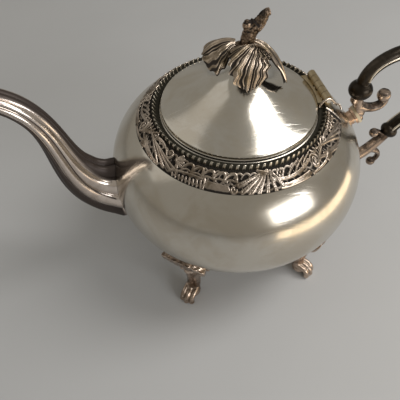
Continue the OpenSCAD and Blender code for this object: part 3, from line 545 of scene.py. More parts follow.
def make_scroll_border():
    """A stamped band of scrolls, leaves and a reeded horn, open at the hinge, with a raised
    bead across each end."""
    columns, rows, width = 1300, 44, BORDER_OUTER_R - BORDER_INNER_R
    inner_t, outer_t, crown_t, least_t, carving = 3.6, 1.1, 0.5, 0.2, 1.75
    bead_at, bead_w, bare_end = 0.9, 0.7, 5
    open_edge, open_below = 1.3, 0.24  # the outer edge is cut through where it is carved this deep
    turns = np.repeat(ring_turns(BORDER_INNER_R, columns)[:, None], rows, axis=1)
    across = np.repeat(np.linspace(0, width, rows)[None, :], columns, axis=0)
    relief = border_relief(turns, across)
    from_end = np.minimum(turns - turns[0, 0], turns[-1, 0] - turns) * BORDER_MID_R
    bead = np.exp(-((from_end - bead_at) / bead_w) ** 2)
    relief = np.clip(np.maximum(relief * (from_end > bare_end), bead), 0, 1)
    radius = BORDER_INNER_R + across
    share = across / width
    thickness = inner_t + (outer_t - inner_t) * share + crown_t * np.sin(math.pi * share)
    depth = np.minimum(carving, thickness - least_t)
    shoulder = shoulder_z(radius)
    top = shoulder + thickness - depth * (1 - relief)
    off_edge = (across > width - open_edge) & (relief < open_below)
    top[off_edge] = shoulder[off_edge] + SEAM
    flat = np.stack([radius * np.cos(turns), radius * np.sin(turns)], axis=-1)
    upper = np.concatenate([flat, top[..., None]], axis=-1)
    lower = np.concatenate([flat, shoulder[..., None] + SEAM * 0.5], axis=-1)[:, ::-6]
    points = np.concatenate([upper, lower, upper[:, :1]], axis=1)
    hollow = np.ones(points.shape[:2])
    hollow[:, :rows] = 1 - relief
    hollow[:, -1] = 1 - relief[:, 0]
    band = carved_ring("scroll_band", points, hollow)
    return settle(join(band, *border_ends()), "scroll_band", smooth=50)


def wire(points, radius):
    """A round wire along a smooth line through space, given by five points."""
    line = primitive(bpy.ops.curve.primitive_nurbs_path_add, radius=MM)
    for knot, point in zip(line.data.splines[0].points, points):
        knot.co = (*(Vector(point) * MM), 1)
    line.data.bevel_depth = radius * MM
    line.data.bevel_resolution = 3
    line.data.use_fill_caps = True
    bpy.ops.object.convert(target="MESH")
    return bpy.context.object


def border_ends():
    """Beside the hinge: an arched lip and its curled tail in front, and two rows of pearls on
    either side."""
    pearl_r, first_turn, pitch, stagger = 1.0, 22, 2.6, 1.2
    parts = [wire([(46.6, -16.6, 138.9), (47.6, -15.6, 142.6), (51.2, -15.0, 144.6), (54.6, -15.3, 143.6),
                   (56.6, -16.2, 139.4)], 0.75),
             wire([(56.9, -17.2, 139.2), (57.6, -17.8, 140.6), (58.4, -18.6, 140.4), (59.0, -19.4, 139.2),
                   (59.3, -20.2, 137.8)], 0.65)]
    for side in (-1, 1):
        for radius, rise, shift in ((54.9, 2.9, 0), (57.0, 2.6, stagger)):
            for k in range(6):
                turn = math.radians(side * (first_turn + pitch * k + shift))
                place = (radius * math.cos(turn), radius * math.sin(turn), shoulder_z(radius) + rise)
                parts.append(ball(place, pearl_r))
    return parts


# ---- the spout ----

def make_spout():
    """A swan-neck spout of convex flutes with a fine reed in each crease. Its root flares where
    it meets the body."""
    flutes, per_flute, rings = 10, 16, 56
    crease, reed, flare, flare_share = 0.13, 0.055, 1.035, 0.035
    root_z, tip_z, reach, buried, wall = 80, 174, 156.2, 16, 1.2
    leave, arrive = (-46, 19), (65, -9)
    root = (-body_radius(root_z), root_z)
    curve = [root, (root[0] + leave[0], root_z + leave[1]), (-reach + arrive[0], tip_z + arrive[1]),
             (-reach, tip_z)]
    root_size, tip_size, root_share, slimming, glance = (14.8, 24.2), (6.4, 6.4), 0.45, 3.2, 0.005
    count = flutes * per_flute
    ring = []
    for j in range(count):
        angle = math.tau * j / count
        depth = crease * (1 - abs(math.cos(angle * flutes / 2)))
        if (j - per_flute // 2) % per_flute == 0:
            depth -= reed
        ring.append((-math.cos(angle) * (1 - depth), math.sin(angle) * (1 - depth)))
    path, facings, sizes = [], [], []
    for k in range(rings + 1):
        t = k / rings
        ahead = (bezier(curve, min(1, t + glance)) - bezier(curve, max(0, t - glance))).normalized()
        blend = min(1, t / root_share)
        facing = (Vector((-1, 0)) * (1 - blend) + ahead * blend).normalized()
        stretch = 1 / facing.dot(ahead)
        foot = 1 + (flare - 1) * max(0, 1 - t / flare_share)
        half_w = tip_size[0] + (root_size[0] - tip_size[0]) * (1 - t)
        half_h = tip_size[1] + (root_size[1] - tip_size[1]) * (1 - t) ** slimming
        path.append(bezier(curve, t))
        facings.append(angle_of(facing) % 360)
        sizes.append((half_w * foot, half_h * stretch * foot))
    path.insert(0, Vector((root[0] + buried, root_z)))
    facings.insert(0, facings[0])
    sizes.insert(0, sizes[0])
    spout = drawn_out(ring, path, facings, sizes)
    clean(spout)
    modify(spout, "SOLIDIFY", thickness=wall * MM, offset=-1)
    cut(spout, turned(body_curve(-SEAM, 0.001), 160))
    settle(spout, "fluted_spout", smooth=28)
    shade_spout(spout, curve)
    return spout


def shade_spout(spout, curve):
    """Says where painted shade lies on the spout: along its back and its underside and in the crease on each
    side, with uneven blotches on its back, but none beside the body, which is left light as a painted
    highlight along the joint."""
    # the angle round the spout, from -90 below to 90 on its back, and how much painted shade lies there
    angles = [-90, -25, -18, 14, 19, 50, 55, 62, 66, 90]
    darkness = [0.8, 0.66, 0.5, 0.3, 0, 0, 0.5, 0.6, 0.92, 1]
    crease_at, crease_w, crease_shade = 18, 2.4, 0.85
    blotch_size, blotch_dark, blotch_from = 0.4, 0.3, 64
    joint_w, joint_top = 1.8, 60
    path, ahead = curve_points(curve, np.linspace(0, 1, 80))
    places = np.zeros(len(spout.data.vertices) * 3)
    spout.data.vertices.foreach_get("co", places)
    places = places.reshape(-1, 3) / MM
    gaps = places[:, None, [0, 2]] - path[None]
    nearest = np.argmin((gaps ** 2).sum(axis=2), axis=1)
    gap, forward = gaps[np.arange(len(places)), nearest], ahead[nearest]
    rise = gap[:, 1] * -forward[:, 0] + gap[:, 0] * forward[:, 1]
    angle = np.degrees(np.arctan2(rise, np.abs(places[:, 1])))
    shade = np.interp(angle, angles, darkness)
    # painted shade in the crease on each side
    creases = sum(np.exp(-((angle + at) / crease_w) ** 2) for at in (-crease_at, crease_at))
    blotch = np.array([noise.noise(Vector(place) * blotch_size) for place in places])
    shade = np.maximum(shade, crease_shade * creases) + blotch_dark * blotch * (angle > blotch_from)
    reach = np.where(places[:, 2] > BELLY_Z, UPPER_RISE, LOWER_DROP)
    from_belly = np.clip(np.abs(places[:, 2] - BELLY_Z) / reach, 0, 1)
    body_r = BODY_R * (1 - from_belly ** SQUARENESS) ** (1 / SQUARENESS)
    # beside the body the shade is lifted: a painted highlight along the joint
    joint_highlight = np.hypot(places[:, 0], places[:, 1]) < body_r + joint_w
    shade = np.clip(shade * np.where(joint_highlight & (angle < joint_top), 0, 1), 0, 1)
    # the painted shade goes to the spout's finish as an attribute
    attribute = spout.data.attributes.new("hollow", "FLOAT", "POINT")
    attribute.data.foreach_set("value", shade)


# ---- the feet ----

FOOT_AZIMUTH = 49
TOE_CIRCLE_R = 79.5
KNEE_R = 70
PAW_W = 14
PAW_H = 11


def foot_leaf():
    """A ribbed shell leaf with a scalloped top, between the knee and the body."""
    rows, columns, ribs = 36, 96, 7
    low_z, high_z, width, thickness = 43, 67, 34, 2.4
    rounding, scallop, groove, clearance, belly = 4.5, 1.4, 0.9, 0.5, 1.2
    points = np.zeros((rows, columns * 2 + 1, 3))
    q = np.linspace(-1, 1, columns)
    rib = np.abs(np.cos(q * math.pi * ribs / 2))
    for i in range(rows):
        s = i / (rows - 1)
        top = high_z - rounding * q ** 2 - scallop * (1 - rib)
        z = low_z + (top - low_z) * s
        on_body = np.array([body_radius(level) for level in z]) + SEAM * 2.5
        outer = KNEE_R + (body_radius(high_z) + thickness - KNEE_R) * math.sin(math.pi / 2 * s)
        outer = np.maximum(outer, on_body + clearance + belly * (1 - s))
        half_w = width / 2 * (0.5 + 0.5 * math.sin(math.pi / 2 * min(1, s * 1.15)))
        turn = half_w * q / outer
        back = np.maximum(on_body, outer - thickness * 2.5)
        front = outer - thickness * (0.05 + 0.25 * q ** 2) - groove * (1 - rib)
        points[i, :columns] = np.stack([front * np.cos(turn), front * np.sin(turn), z], axis=-1)
        points[i, columns:-1] = np.stack([back * np.cos(turn), back * np.sin(turn), z], axis=-1)[::-1]
        points[i, -1] = points[i, 0]
    return close_up(sheet_of_points(points))


def make_foot():
    """A cabriole leg with a paw under a shell leaf, at azimuth 0."""
    leg_t, toe_r, toes_apart, rib_y = 10.4, PAW_W / 6, 1.65, 3.6
    # the drops at the knee, each (out from the knee, to the side, height, radius)
    side_drops = ((-1, 9.4, 42, 3.1), (-4, 12.4, 45.5, 2.3))
    front_drops = ((1.6, 0, 42.5, 3.2), (3.2, 3.6, 46, 1.9), (3.2, -3.6, 46, 1.9))
    heel = (TOE_CIRCLE_R - PAW_W * 0.95, PAW_H * 0.62)
    leg = [(KNEE_R - leg_t * 0.7, 48), (KNEE_R + leg_t * 0.3, 35), (heel[0] - leg_t * 0.7, PAW_H * 2), heel]
    parts = [foot_leaf(), arm(leg, (5.8, 5.2), (5.2, 4.3)),
             arm([(x + 4.2, z - 1) for x, z in leg], (1.1, 1.3), (1.6, 1.4))]
    for side in (-1, 1):
        rib = arm([(x + 2.2, z) for x, z in leg], (1.0, 1.0), (1.2, 1.0))
        rib.data.transform(Matrix.Translation((0, side * rib_y * MM, 0)))
        parts.append(rib)
        parts += [ball((KNEE_R + out, side * y, z), radius) for out, y, z, radius in side_drops]
    parts += [ball((KNEE_R + out, y, z), radius) for out, y, z, radius in front_drops]
    parts.append(ball((heel[0] + 1.5, 0, PAW_H * 0.5), PAW_H * 0.5, squash=(1.15, 1.2, 0.95)))
    for k in (-1, 0, 1):
        reach, y = TOE_CIRCLE_R - toe_r * (1.0 + 0.5 * abs(k)), k * toe_r * toes_apart
        toe = [(heel[0] - 1, PAW_H * 0.8), (reach - toe_r * 2.4, PAW_H * 0.78), (reach, PAW_H * 0.8),
               (reach, toe_r)]
        digit = arm(toe, (1.9, toe_r * 0.8), (2.2, toe_r * 0.9))
        digit.data.transform(Matrix.Translation((0, y * MM, 0)))
        parts += [digit, ball((reach, y, toe_r), toe_r)]
    foot = cast(parts, 0.45)
    ground = 60
    cut(foot, primitive(bpy.ops.mesh.primitive_cube_add, size=ground * MM,
                        location=(KNEE_R * MM, 0, -ground / 2 * MM)))
    return foot


def make_feet():
    """Four feet from one pattern, each turned to its place."""
    pattern = make_foot()
    azimuths = {"foot_front_left": 180 + FOOT_AZIMUTH, "foot_front_right": -FOOT_AZIMUTH,
                "foot_back_left": 180 - FOOT_AZIMUTH, "foot_back_right": FOOT_AZIMUTH}
    feet = []
    for name, azimuth in azimuths.items():
        only(pattern)
        bpy.ops.object.duplicate()
        foot = bpy.context.object
        foot.rotation_euler.z = math.radians(azimuth)
        feet.append(settle(foot, "cast_" + name, smooth=60))
    bpy.data.objects.remove(pattern)
    return feet


# ---- the handle ----

UPPER_JOINT_Z, UPPER_TILT, UPPER_SOCKET_L = 107.5, 34, 5.4
LOWER_JOINT_Z, LOWER_TILT, LOWER_SOCKET_L = 63, 5, 7.6
FLANGE_R = 6.2
INSULATOR_L = 1.9


def beyond(z, tilt, distance):
    """The point in the XZ plane at a distance from the body along a handle joint at a height."""
    out, up = math.cos(math.radians(tilt)), math.sin(math.radians(tilt))
    return Vector((body_radius(z) + distance * out, z + distance * up))


def above(tilt):
    """The direction in the XZ plane square to a line that is tilted down from +X."""
    return Vector((math.sin(math.radians(tilt)), math.cos(math.radians(tilt))))


UPPER_FACE = beyond(UPPER_JOINT_Z, UPPER_TILT, UPPER_SOCKET_L + INSULATOR_L)
LOWER_FACE = beyond(LOWER_JOINT_Z, LOWER_TILT, LOWER_SOCKET_L + INSULATOR_L)
KNOB = UPPER_FACE + Vector((-3.8, 21))
KNOB_R = 7.9
KNOB_H = 11
GRIP_FOOT = LOWER_FACE + Vector((34, 25))
GRIP_FOOT_TILT = 33
GRIP_COLLAR_R = 6.5
GRIP_REACH = 157
GRIP_SIDE_R = 5.06
KNOB_SEAT = KNOB_H * 0.45  # from the middle of the knob down to its joint
COLLAR_SEAT = 0.28  # the same for the collar, as a share of its width
JOINT_GAP = 0.05


def flange(face, tilt):
    """The round plate by which a scroll meets its heat break."""
    thickness = 1.8
    lean = math.radians(tilt)
    middle = face + Vector((math.cos(lean), math.sin(lean))) * thickness / 2
    return disc((middle.x, 0, middle.y), FLANGE_R, thickness, 90 - tilt, taper=0.82)


def half_space(at, tilt, side):
    """A block whose face passes a point, to cut a seat. side is 1 above the face and -1 below."""
    size = 60
    centre = at + above(tilt) * side * size / 2
    return primitive(bpy.ops.mesh.primitive_cube_add, size=size * MM,
                     location=(centre.x * MM, 0, centre.y * MM), rotation=(0, math.radians(tilt), 0))


def grip_curves():
    """The two curves of the grip, from the knob over the top to its side, and on to its foot."""
    side = Vector((GRIP_REACH - GRIP_SIDE_R, (KNOB.y + GRIP_FOOT.y) / 2 + 16))
    return ([KNOB + Vector((0, KNOB_H * 0.3)), KNOB + Vector((-0.5, 36)), side + Vector((0, 36)), side],
            [side, side - Vector((0, 18)), GRIP_FOOT + Vector((13, 20)), GRIP_FOOT])


def make_grip_highlight_beads():
    """The two beads along the inner edges of the grip, in a bright finish that is a painted highlight along
    those edges.
    """
    bead_r, spread = 0.75, 4.2
    top, end = grip_curves()
    # each point of the grip's curves moves in from the middle of the bar toward its inner edge
    inner_top = [p + Vector(q) for p, q in zip(top, ((1.6, 5), (1.5, -1.9), (-2.4, -2.4), (-2.9, 0)))]
    inner_end = [p + Vector(q) for p, q in zip(end, ((-2.9, 0), (-2.9, 0), (-2.2, 1), (-1.6, 1.8)))]
    beads = []
    for side in (-1, 1):
        for curve in (inner_top, inner_end):
            bead = arm(curve, (bead_r, bead_r), (bead_r, bead_r), steps=30, sides=10)
            bead.data.transform(Matrix.Translation((0, side * spread * MM, 0)))
            beads.append(bead)
    return settle(join(*beads), "grip_highlight_beads", smooth=60)


def make_grip():
    """The ear-shaped grip: a round bar with a knob at its top end and a collar at its foot."""
    neck_r, side_r, end_r = 4.3, 5.1, 4.2
    top, end = grip_curves()
    parts = [arm(top, (neck_r, side_r), (neck_r, side_r), steps=30, sides=24),
             arm(end, (side_r, end_r), (side_r, end_r), steps=20, sides=24),
             ball((KNOB.x, 0, KNOB.y), KNOB_R, squash=(1, 1, 0.84)),
             ball((GRIP_FOOT.x, 0, GRIP_FOOT.y), GRIP_COLLAR_R, squash=(1, 1, 0.75), tilt=GRIP_FOOT_TILT)]
    grip = cast(parts, 0.5)
    cut(grip, half_space(KNOB - Vector((0, KNOB_SEAT)), 0, -1),
        half_space(GRIP_FOOT - above(GRIP_FOOT_TILT) * GRIP_COLLAR_R * 2 * COLLAR_SEAT, GRIP_FOOT_TILT, -1))
    return settle(grip, "ear_grip", smooth=60)


def make_upper_scroll():
    """The stem between the upper joint and the knob, with its flying scroll and spur."""
    f = UPPER_FACE
    ball_at = f + Vector((15.8, 12.8))
    stem = [f, f + Vector((-1, 6)), KNOB + Vector((-1, -16)), KNOB - Vector((0, KNOB_H * 0.2))]
    flight = [f + Vector((-1.4, 8)), f + Vector((7, 2)), f + Vector((19, 1.5)), ball_at + Vector((2, -2))]
    parts = [flange(f, UPPER_TILT), arm(stem, (4.6, 4.2), (5, 4.2)), arm(flight, (4.4, 3.2), (3.2, 2.2)),
             ball((ball_at.x, 0, ball_at.y), 4.6), ball((f.x - 7.6, 0, f.y + 6.2), 2.8)]
    scroll = cast(parts, 0.4)
    cut(scroll, half_space(f, 90 - UPPER_TILT, -1),
        half_space(KNOB - Vector((0, KNOB_SEAT + JOINT_GAP)), 0, 1))
    return settle(scroll, "flying_scroll", smooth=60)


def make_lower_scroll():
    """The lower arm, with one volute curling up and another curling down."""
    f = LOWER_FACE
    fork = f + Vector((26.5, 12.5))
    up_ball = fork + Vector((-4.7, 12.4))
    down_ball = fork + Vector((3, -20))
    stem = [f, f + Vector((14, -0.6)), f + Vector((22.5, 5.5)), GRIP_FOOT]
    up_curl = [fork + Vector((-2, -2)), fork + Vector((7, 4)), fork + Vector((3, 15)),
               up_ball + Vector((1, 1))]
    down_curl = [fork + Vector((-3, -5)), fork + Vector((7, -8)), fork + Vector((10, -15)),
                 down_ball + Vector((1, 0))]
    parts = [flange(f, LOWER_TILT), arm(stem, (5, 3.8), (4.8, 3.8))]
    parts += [arm(curl, (3.2, 2), (2.2, 1.5)) for curl in (up_curl, down_curl)]
    parts += [ball((end.x, 0, end.y), 3.5) for end in (up_ball, down_ball)]
    scroll = cast(parts, 0.4)
    seat = GRIP_FOOT - above(GRIP_FOOT_TILT) * (GRIP_COLLAR_R * 2 * COLLAR_SEAT + JOINT_GAP)
    cut(scroll, half_space(f, 90 - LOWER_TILT, -1), half_space(seat, GRIP_FOOT_TILT, 1))
    return settle(scroll, "branched_scroll", smooth=60)


# ---- the finial ----

TWIG_H = 27
TWIG_LEAN = 12
TWIG_R = 4.2
KNOT_Z = CROWN_Z + TWIG_H * 0.72
LEAF_W = 26


def make_twig():
    """A short length of branch with a cut shoot, a knot and a bent bud."""
    base_z = CROWN_Z + SEAM
    bark_depth, bark_pitch = 0.45, 0.6
    stem = [(0.6, base_z + 3), (TWIG_LEAN * 0.36, CROWN_Z + TWIG_H * 0.36),
            (TWIG_LEAN * 0.05, CROWN_Z + TWIG_H * 0.5), (TWIG_LEAN * 0.58, KNOT_Z)]
    tip = [(TWIG_LEAN * 0.35, KNOT_Z - 2.5), (TWIG_LEAN * 0.9, KNOT_Z),
           (TWIG_LEAN * 0.78, CROWN_Z + TWIG_H * 0.92), (TWIG_LEAN * 1.12, CROWN_Z + TWIG_H * 0.94)]
    boss = disc((0, 0, base_z + 4), CROWN_R - 0.2, 8, 0, taper=0.78)
    parts = [boss, arm(stem, (TWIG_R, TWIG_R * 0.84), (TWIG_R, TWIG_R * 0.94)),
             arm(tip, (3.5, 2.3), (4.2, 1.8)),
             ball((TWIG_LEAN * 0.15, 0, KNOT_Z), 2.7, squash=(1, 0.8, 1.1)),
             ball((TWIG_LEAN * 0.6, -2.5, KNOT_Z - 1), 2.0)]
    return settle(roughened(cast(parts, 0.3, relax=3), bark_depth, bark_pitch), "twig", smooth=60)


def roughened(obj, depth, pitch):
    """Gives a casting a rough skin, like bark: bumps of a depth and a pitch, drawn out upward."""
    crown, drawn = 0.2, Vector((1, 1, 0.3))
    normals = [vertex.normal.copy() for vertex in obj.data.vertices]
    for vertex, normal in zip(obj.data.vertices, normals):
        place = vertex.co / (pitch * MM) * 0.5
        bump = noise.noise(place) + 0.5 * noise.noise(place * drawn * 2)
        vertex.co += normal * min(bump, crown) * depth * MM
    return obj


def curve_points(curve, t):
    """Points of a Bezier curve at an array of shares, and its unit directions there."""
    p = np.array([tuple(point) for point in curve])
    t = t[..., None]
    at = (1 - t) ** 3 * p[0] + 3 * (1 - t) ** 2 * t * p[1] + 3 * (1 - t) * t * t * p[2] + t ** 3 * p[3]
    ahead = (1 - t) ** 2 * (p[1] - p[0]) + 2 * (1 - t) * t * (p[2] - p[1]) + t * t * (p[3] - p[2])
    return at, ahead / np.linalg.norm(ahead, axis=-1, keepdims=True)


def leaf_relief(s, q, hub, veins):
    """Relief of a leaf's veins, which fan out from a hub, from 0 to 1. s runs along the leaf
    and q across it, from -1 to 1."""
    angle = np.arctan2(q - hub[1], (s - hub[0]) * 1.6 + 0.05)
    main = np.abs(np.cos(angle * veins / 2)) ** 4
    fine = np.abs(np.cos(angle * veins * 1.5 + 0.6)) ** 2
    return np.clip(0.7 * main + 0.45 * fine, 0, 1)


def make_leaf(name, azimuth, curve, width, shoulder, sag, hub, veins, lobes, scallop_depth):
    """A leaf that leaves the twig's foot and hangs along a Bezier curve of (radius, height).
    shoulder is how broad it starts, as an angle, and sag how far its sides hang at its foot and
    at its tip. hub is where its veins meet, as shares of its length and half width."""
    rows, columns, thickness, crown_t, vein_h, rounding = 120, 120, 1.0, 0.7, 1.0, 0.1
    s, q = np.meshgrid(np.linspace(0, 1, rows), np.linspace(-1, 1, columns), indexing="ij")
    scallop = 1 - np.abs(np.cos(q * math.pi * lobes / 2))
    t = s * (1 - scallop_depth * scallop - rounding * q ** 2)
    at, ahead = curve_points(curve, t)
    half_w = width / 2 * np.sin(np.radians(shoulder + (160 - shoulder) * t ** 1.3)) ** 0.8
    half_w = half_w * (1 - scallop_depth + scallop_depth * np.cos(math.tau * lobes * t))
    droop = (sag[0] + (sag[1] - sag[0]) * t) * (half_w * 2 / width) ** 2 * q ** 2
    veins_here = leaf_relief(t, q, hub, veins)
    rise = thickness + crown_t * (1 - np.abs(q)) * (1 - t) + vein_h * veins_here
    across = half_w * q
    (x, z), (run_x, run_z) = np.moveaxis(at, -1, 0), np.moveaxis(ahead, -1, 0)
    top = np.stack([x - rise * run_z, across, z + rise * run_x - droop], axis=-1)
    under = np.stack([x, across, z - droop], axis=-1)[:, ::-3]
    points = np.concatenate([top, under, top[:, :1]], axis=1)
    hollow = np.clip(1.1 - 1.7 * veins_here, 0, 1)
    shade = np.concatenate([hollow, np.ones(under.shape[:2]), hollow[:, :1]], axis=1)
    leaf = carved_ring(name, points, shade)
    leaf.rotation_euler.z = math.radians(azimuth)
    return settle(leaf, name, smooth=60)


def leaf_curve(reach, drop, first, second):
    """The curve of a leaf: first and second give its bend as shares of its reach."""
    root_h, root_l = 8.5, 2.2
    foot = Vector((TWIG_R * 2 * 0.3, CROWN_Z + root_h))
    return [foot + Vector((root_l, 0)), foot + Vector(first) * reach, foot + Vector(second) * reach,
            foot + Vector((reach, -drop))]


def make_leaves():
    """One leaf to the left, a broad one in front and a narrow one that hangs down on the right."""
    left = leaf_curve(18.5, 8, (0.38, 0.07), (0.78, 0))
    front = leaf_curve(13.6, 19.4, (0.44, 0.15), (0.92, -0.29))
    right = leaf_curve(24.4, 29, (0.45, -0.02), (0.82, -0.49))
    return [make_leaf("leaf_left", 163, left, LEAF_W, shoulder=20, sag=(22, 2), hub=(-0.5, 0.0), veins=22,
                      lobes=4, scallop_depth=0.04),
            make_leaf("leaf_front", -88, front, LEAF_W * 0.95, shoulder=40, sag=(4, 2), hub=(0.02, 0.75),
                      veins=20, lobes=5, scallop_depth=0.08),
            make_leaf("leaf_right", -7, right, LEAF_W * 0.5, shoulder=14, sag=(4, 1), hub=(-0.3, 0.0),
                      veins=9, lobes=2, scallop_depth=0.08)]


# ---- finishes ----

def mask_group(name, inputs, outputs):
    """An empty node group with its sockets: (name, kind, default) going in, (name, kind) coming
    out."""
    group = bpy.data.node_groups.new(name, "ShaderNodeTree")
    for label, kind, default in inputs:
        socket = group.interface.new_socket(label, in_out="INPUT", socket_type="NodeSocket" + kind)
        socket.default_value = default
    for label, kind in outputs:
        group.interface.new_socket(label, in_out="OUTPUT", socket_type="NodeSocket" + kind)
    return group, group.nodes.new("NodeGroupInput"), group.nodes.new("NodeGroupOutput")


def wired(tree, kind, links=(), **settings):
    """Adds a node with its settings, and links other outputs to its inputs by name or number."""
    node = tree.nodes.new(kind)
    for key, value in settings.items():
        setattr(node, key, value)
    for key, source in dict(links).items():
        if hasattr(source, "is_output"):
            tree.links.new(source, node.inputs[key])
        else:
            node.inputs[key].default_value = source
    return node


def fraction(tree, operation, a, b, clamp=True):
    """Reckons with two values, and keeps the result between 0 and 1 unless told otherwise."""
    return wired(tree, "ShaderNodeMath", {0: a, 1: b}, operation=operation, use_clamp=clamp).outputs[0]


def ramp(tree, value, low, high):
    """0 below low and 1 above high, with a soft passage between."""
    node = wired(tree, "ShaderNodeMapRange", {"Value": value, "From Min": low, "From Max": high},
                 interpolation_type="SMOOTHSTEP")
    return node.outputs["Result"]


def blended(tree, factor, first, second):
    """Goes from the first colour to the second by a factor. Both have their own numbered sockets."""
    return wired(tree, "ShaderNodeMix", {0: factor, 6: first, 7: second}, data_type="RGBA").outputs[2]


def cloudy(tree, where, scale, **more):
    """A noise between 0 and 1."""
    links = {"Vector": where, "Scale": scale, **more}
    return wired(tree, "ShaderNodeTexNoise", links).outputs[0]


def rgb(red, green, blue):
    """An opaque colour."""
    return (red, green, blue, 1.0)


def make_tarnish_group():
    """Clean silver under a brownish film that gathers in clouds, dark in the hollows and wherever a piece
    brings in painted shade.
    """
    group, into, out = mask_group(
        "tarnish", [("Clean", "Color", rgb(0.8, 0.77, 0.72)), ("Film", "Color", rgb(0.5, 0.4, 0.28)),
                    ("Dirt", "Color", rgb(0.03, 0.02, 0.012)), ("Hollow", "Float", 0.0),
                    ("Clouds", "Float", 0.4), ("Scale", "Float", 60.0), ("Gloss", "Float", 0.2),
                    ("Dull", "Float", 0.5), ("Cover", "Float", 0.0), ("Wear", "Float", 0.0)],
        [("Colour", "Color"), ("Roughness", "Float"), ("Metal", "Float")])
    give = into.outputs
    speckle_scale, speckle_film, speckle_dirt, film_dulls, darkening_hides_metal = 9.0, 0.12, 0.12, 0.12, 0.6
    where = group.nodes.new("ShaderNodeTexCoord").outputs["Object"]
    cloud = cloudy(group, where, give["Scale"], Detail=6.0, Roughness=0.62, Distortion=0.6)
    fine = fraction(group, "MULTIPLY", give["Scale"], speckle_scale, clamp=False)
    speck = cloudy(group, where, fine, Detail=4.0, Roughness=0.7)
    film = fraction(group, "MULTIPLY", ramp(group, cloud, 0.38, 0.66), give["Clouds"])
    film = fraction(group, "ADD", film, give["Cover"])
    spots = fraction(group, "MULTIPLY", ramp(group, speck, 0.55, 0.75), speckle_film)
    film = fraction(group, "ADD", film, spots)
    film = fraction(group, "SUBTRACT", film, give["Wear"])
    # the dark of the hollows, which also carries any painted shade brought in
    deep = fraction(group, "ADD", give["Hollow"], fraction(group, "MULTIPLY", speck, speckle_dirt))
    deep = ramp(group, deep, 0.28, 0.92)
    colour = blended(group, film, give["Clean"], give["Film"])
    colour = blended(group, deep, colour, give["Dirt"])
    rough = fraction(group, "ADD", give["Gloss"], fraction(group, "MULTIPLY", film, film_dulls))
    rough = fraction(group, "ADD", rough, fraction(group, "MULTIPLY", deep, give["Dull"]))
    metal = fraction(group, "SUBTRACT", 1.0, fraction(group, "MULTIPLY", deep, darkening_hides_metal))
    for name, value in (("Colour", colour), ("Roughness", rough), ("Metal", metal)):
        group.links.new(value, out.inputs[name])
    return group


def make_hollow_group():
    """How deep a point lies in the carving, 0 on the crests and 1 in the recesses, and how far
    it stands out as an edge."""
    group, into, out = mask_group("hollows", [("Reach", "Float", 0.003), ("Edge", "Float", 0.5)],
                                  [("Hollow", "Float"), ("Ridge", "Float")])
    darken = 1.5
    shade = wired(group, "ShaderNodeAmbientOcclusion", {"Distance": into.outputs["Reach"]},
                  samples=8, only_local=True)
    shut = fraction(group, "SUBTRACT", 1.0, shade.outputs["AO"])
    point = group.nodes.new("ShaderNodeNewGeometry").outputs["Pointiness"]
    ridge_mask = ramp(group, point, 0.5, 0.6)
    edge = fraction(group, "MULTIPLY", ridge_mask, into.outputs["Edge"])
    shut = fraction(group, "SUBTRACT", fraction(group, "MULTIPLY", shut, darken), edge)
    group.links.new(shut, out.inputs["Hollow"])
    group.links.new(ridge_mask, out.inputs["Ridge"])
    return group


def make_top_shade_group():
    """Painted shade on what faces upward, broken up by a mottle."""
    group, into, out = mask_group("top_shade", [("Strength", "Float", 1.0)], [("Mask", "Float")])
    where = group.nodes.new("ShaderNodeTexCoord").outputs["Object"]
    faces = group.nodes.new("ShaderNodeNewGeometry").outputs["Normal"]
    upward = wired(group, "ShaderNodeSeparateXYZ", {0: faces}).outputs["Z"]
    mottle = cloudy(group, where, 190.0, Detail=5.0, Roughness=0.65)
    mottle = fraction(group, "ADD", fraction(group, "MULTIPLY", ramp(group, mottle, 0.36, 0.6), 0.5), 0.5)
    # darker the more a face points up: painted shade
    mask = fraction(group, "MULTIPLY", ramp(group, upward, 0.3, 0.5), mottle)
    group.links.new(fraction(group, "MULTIPLY", mask, into.outputs["Strength"]), out.inputs["Mask"])
    return group


def make_wear_group():
    """The height of small dents, fine scratches and the grain of a casting."""
    group, into, out = mask_group(
        "wear", [("Dents", "Float", 0.5), ("Scratches", "Float", 0.2), ("Grain", "Float", 0.0)],
        [("Height", "Float")])
    dent_scale, grain_scale = 45.0, 900.0
    scratch_scale, scratch_turns = (40, 900, 40), ((0.3, 0.2, 0.5), (1.2, 0.7, -0.6))
    where = group.nodes.new("ShaderNodeTexCoord").outputs["Object"]
    dents = cloudy(group, where, dent_scale, Detail=2.0)
    grain = cloudy(group, where, grain_scale, Detail=3.0)
    total = fraction(group, "MULTIPLY", dents, into.outputs["Dents"], clamp=False)
    for turn in scratch_turns:
        spun = wired(group, "ShaderNodeMapping", {"Vector": where, "Rotation": turn, "Scale": scratch_scale})
        lines = cloudy(group, spun.outputs[0], 1.0, Detail=2.0)
        mark = fraction(group, "MULTIPLY", ramp(group, lines, 0.6, 0.72), into.outputs["Scratches"])
        total = fraction(group, "SUBTRACT", total, mark, clamp=False)
    grit = fraction(group, "MULTIPLY", grain, into.outputs["Grain"])
    group.links.new(fraction(group, "ADD", total, grit, clamp=False), out.inputs["Height"])
    return group


TARNISH = make_tarnish_group()
HOLLOWS = make_hollow_group()
TOP_SHADE = make_top_shade_group()
WEAR = make_wear_group()


def grouped(tree, group, **amounts):
    """Places a node group in a material with its own values."""
    links = {key.title(): value for key, value in amounts.items()}
    return wired(tree, "ShaderNodeGroup", links, node_tree=group)


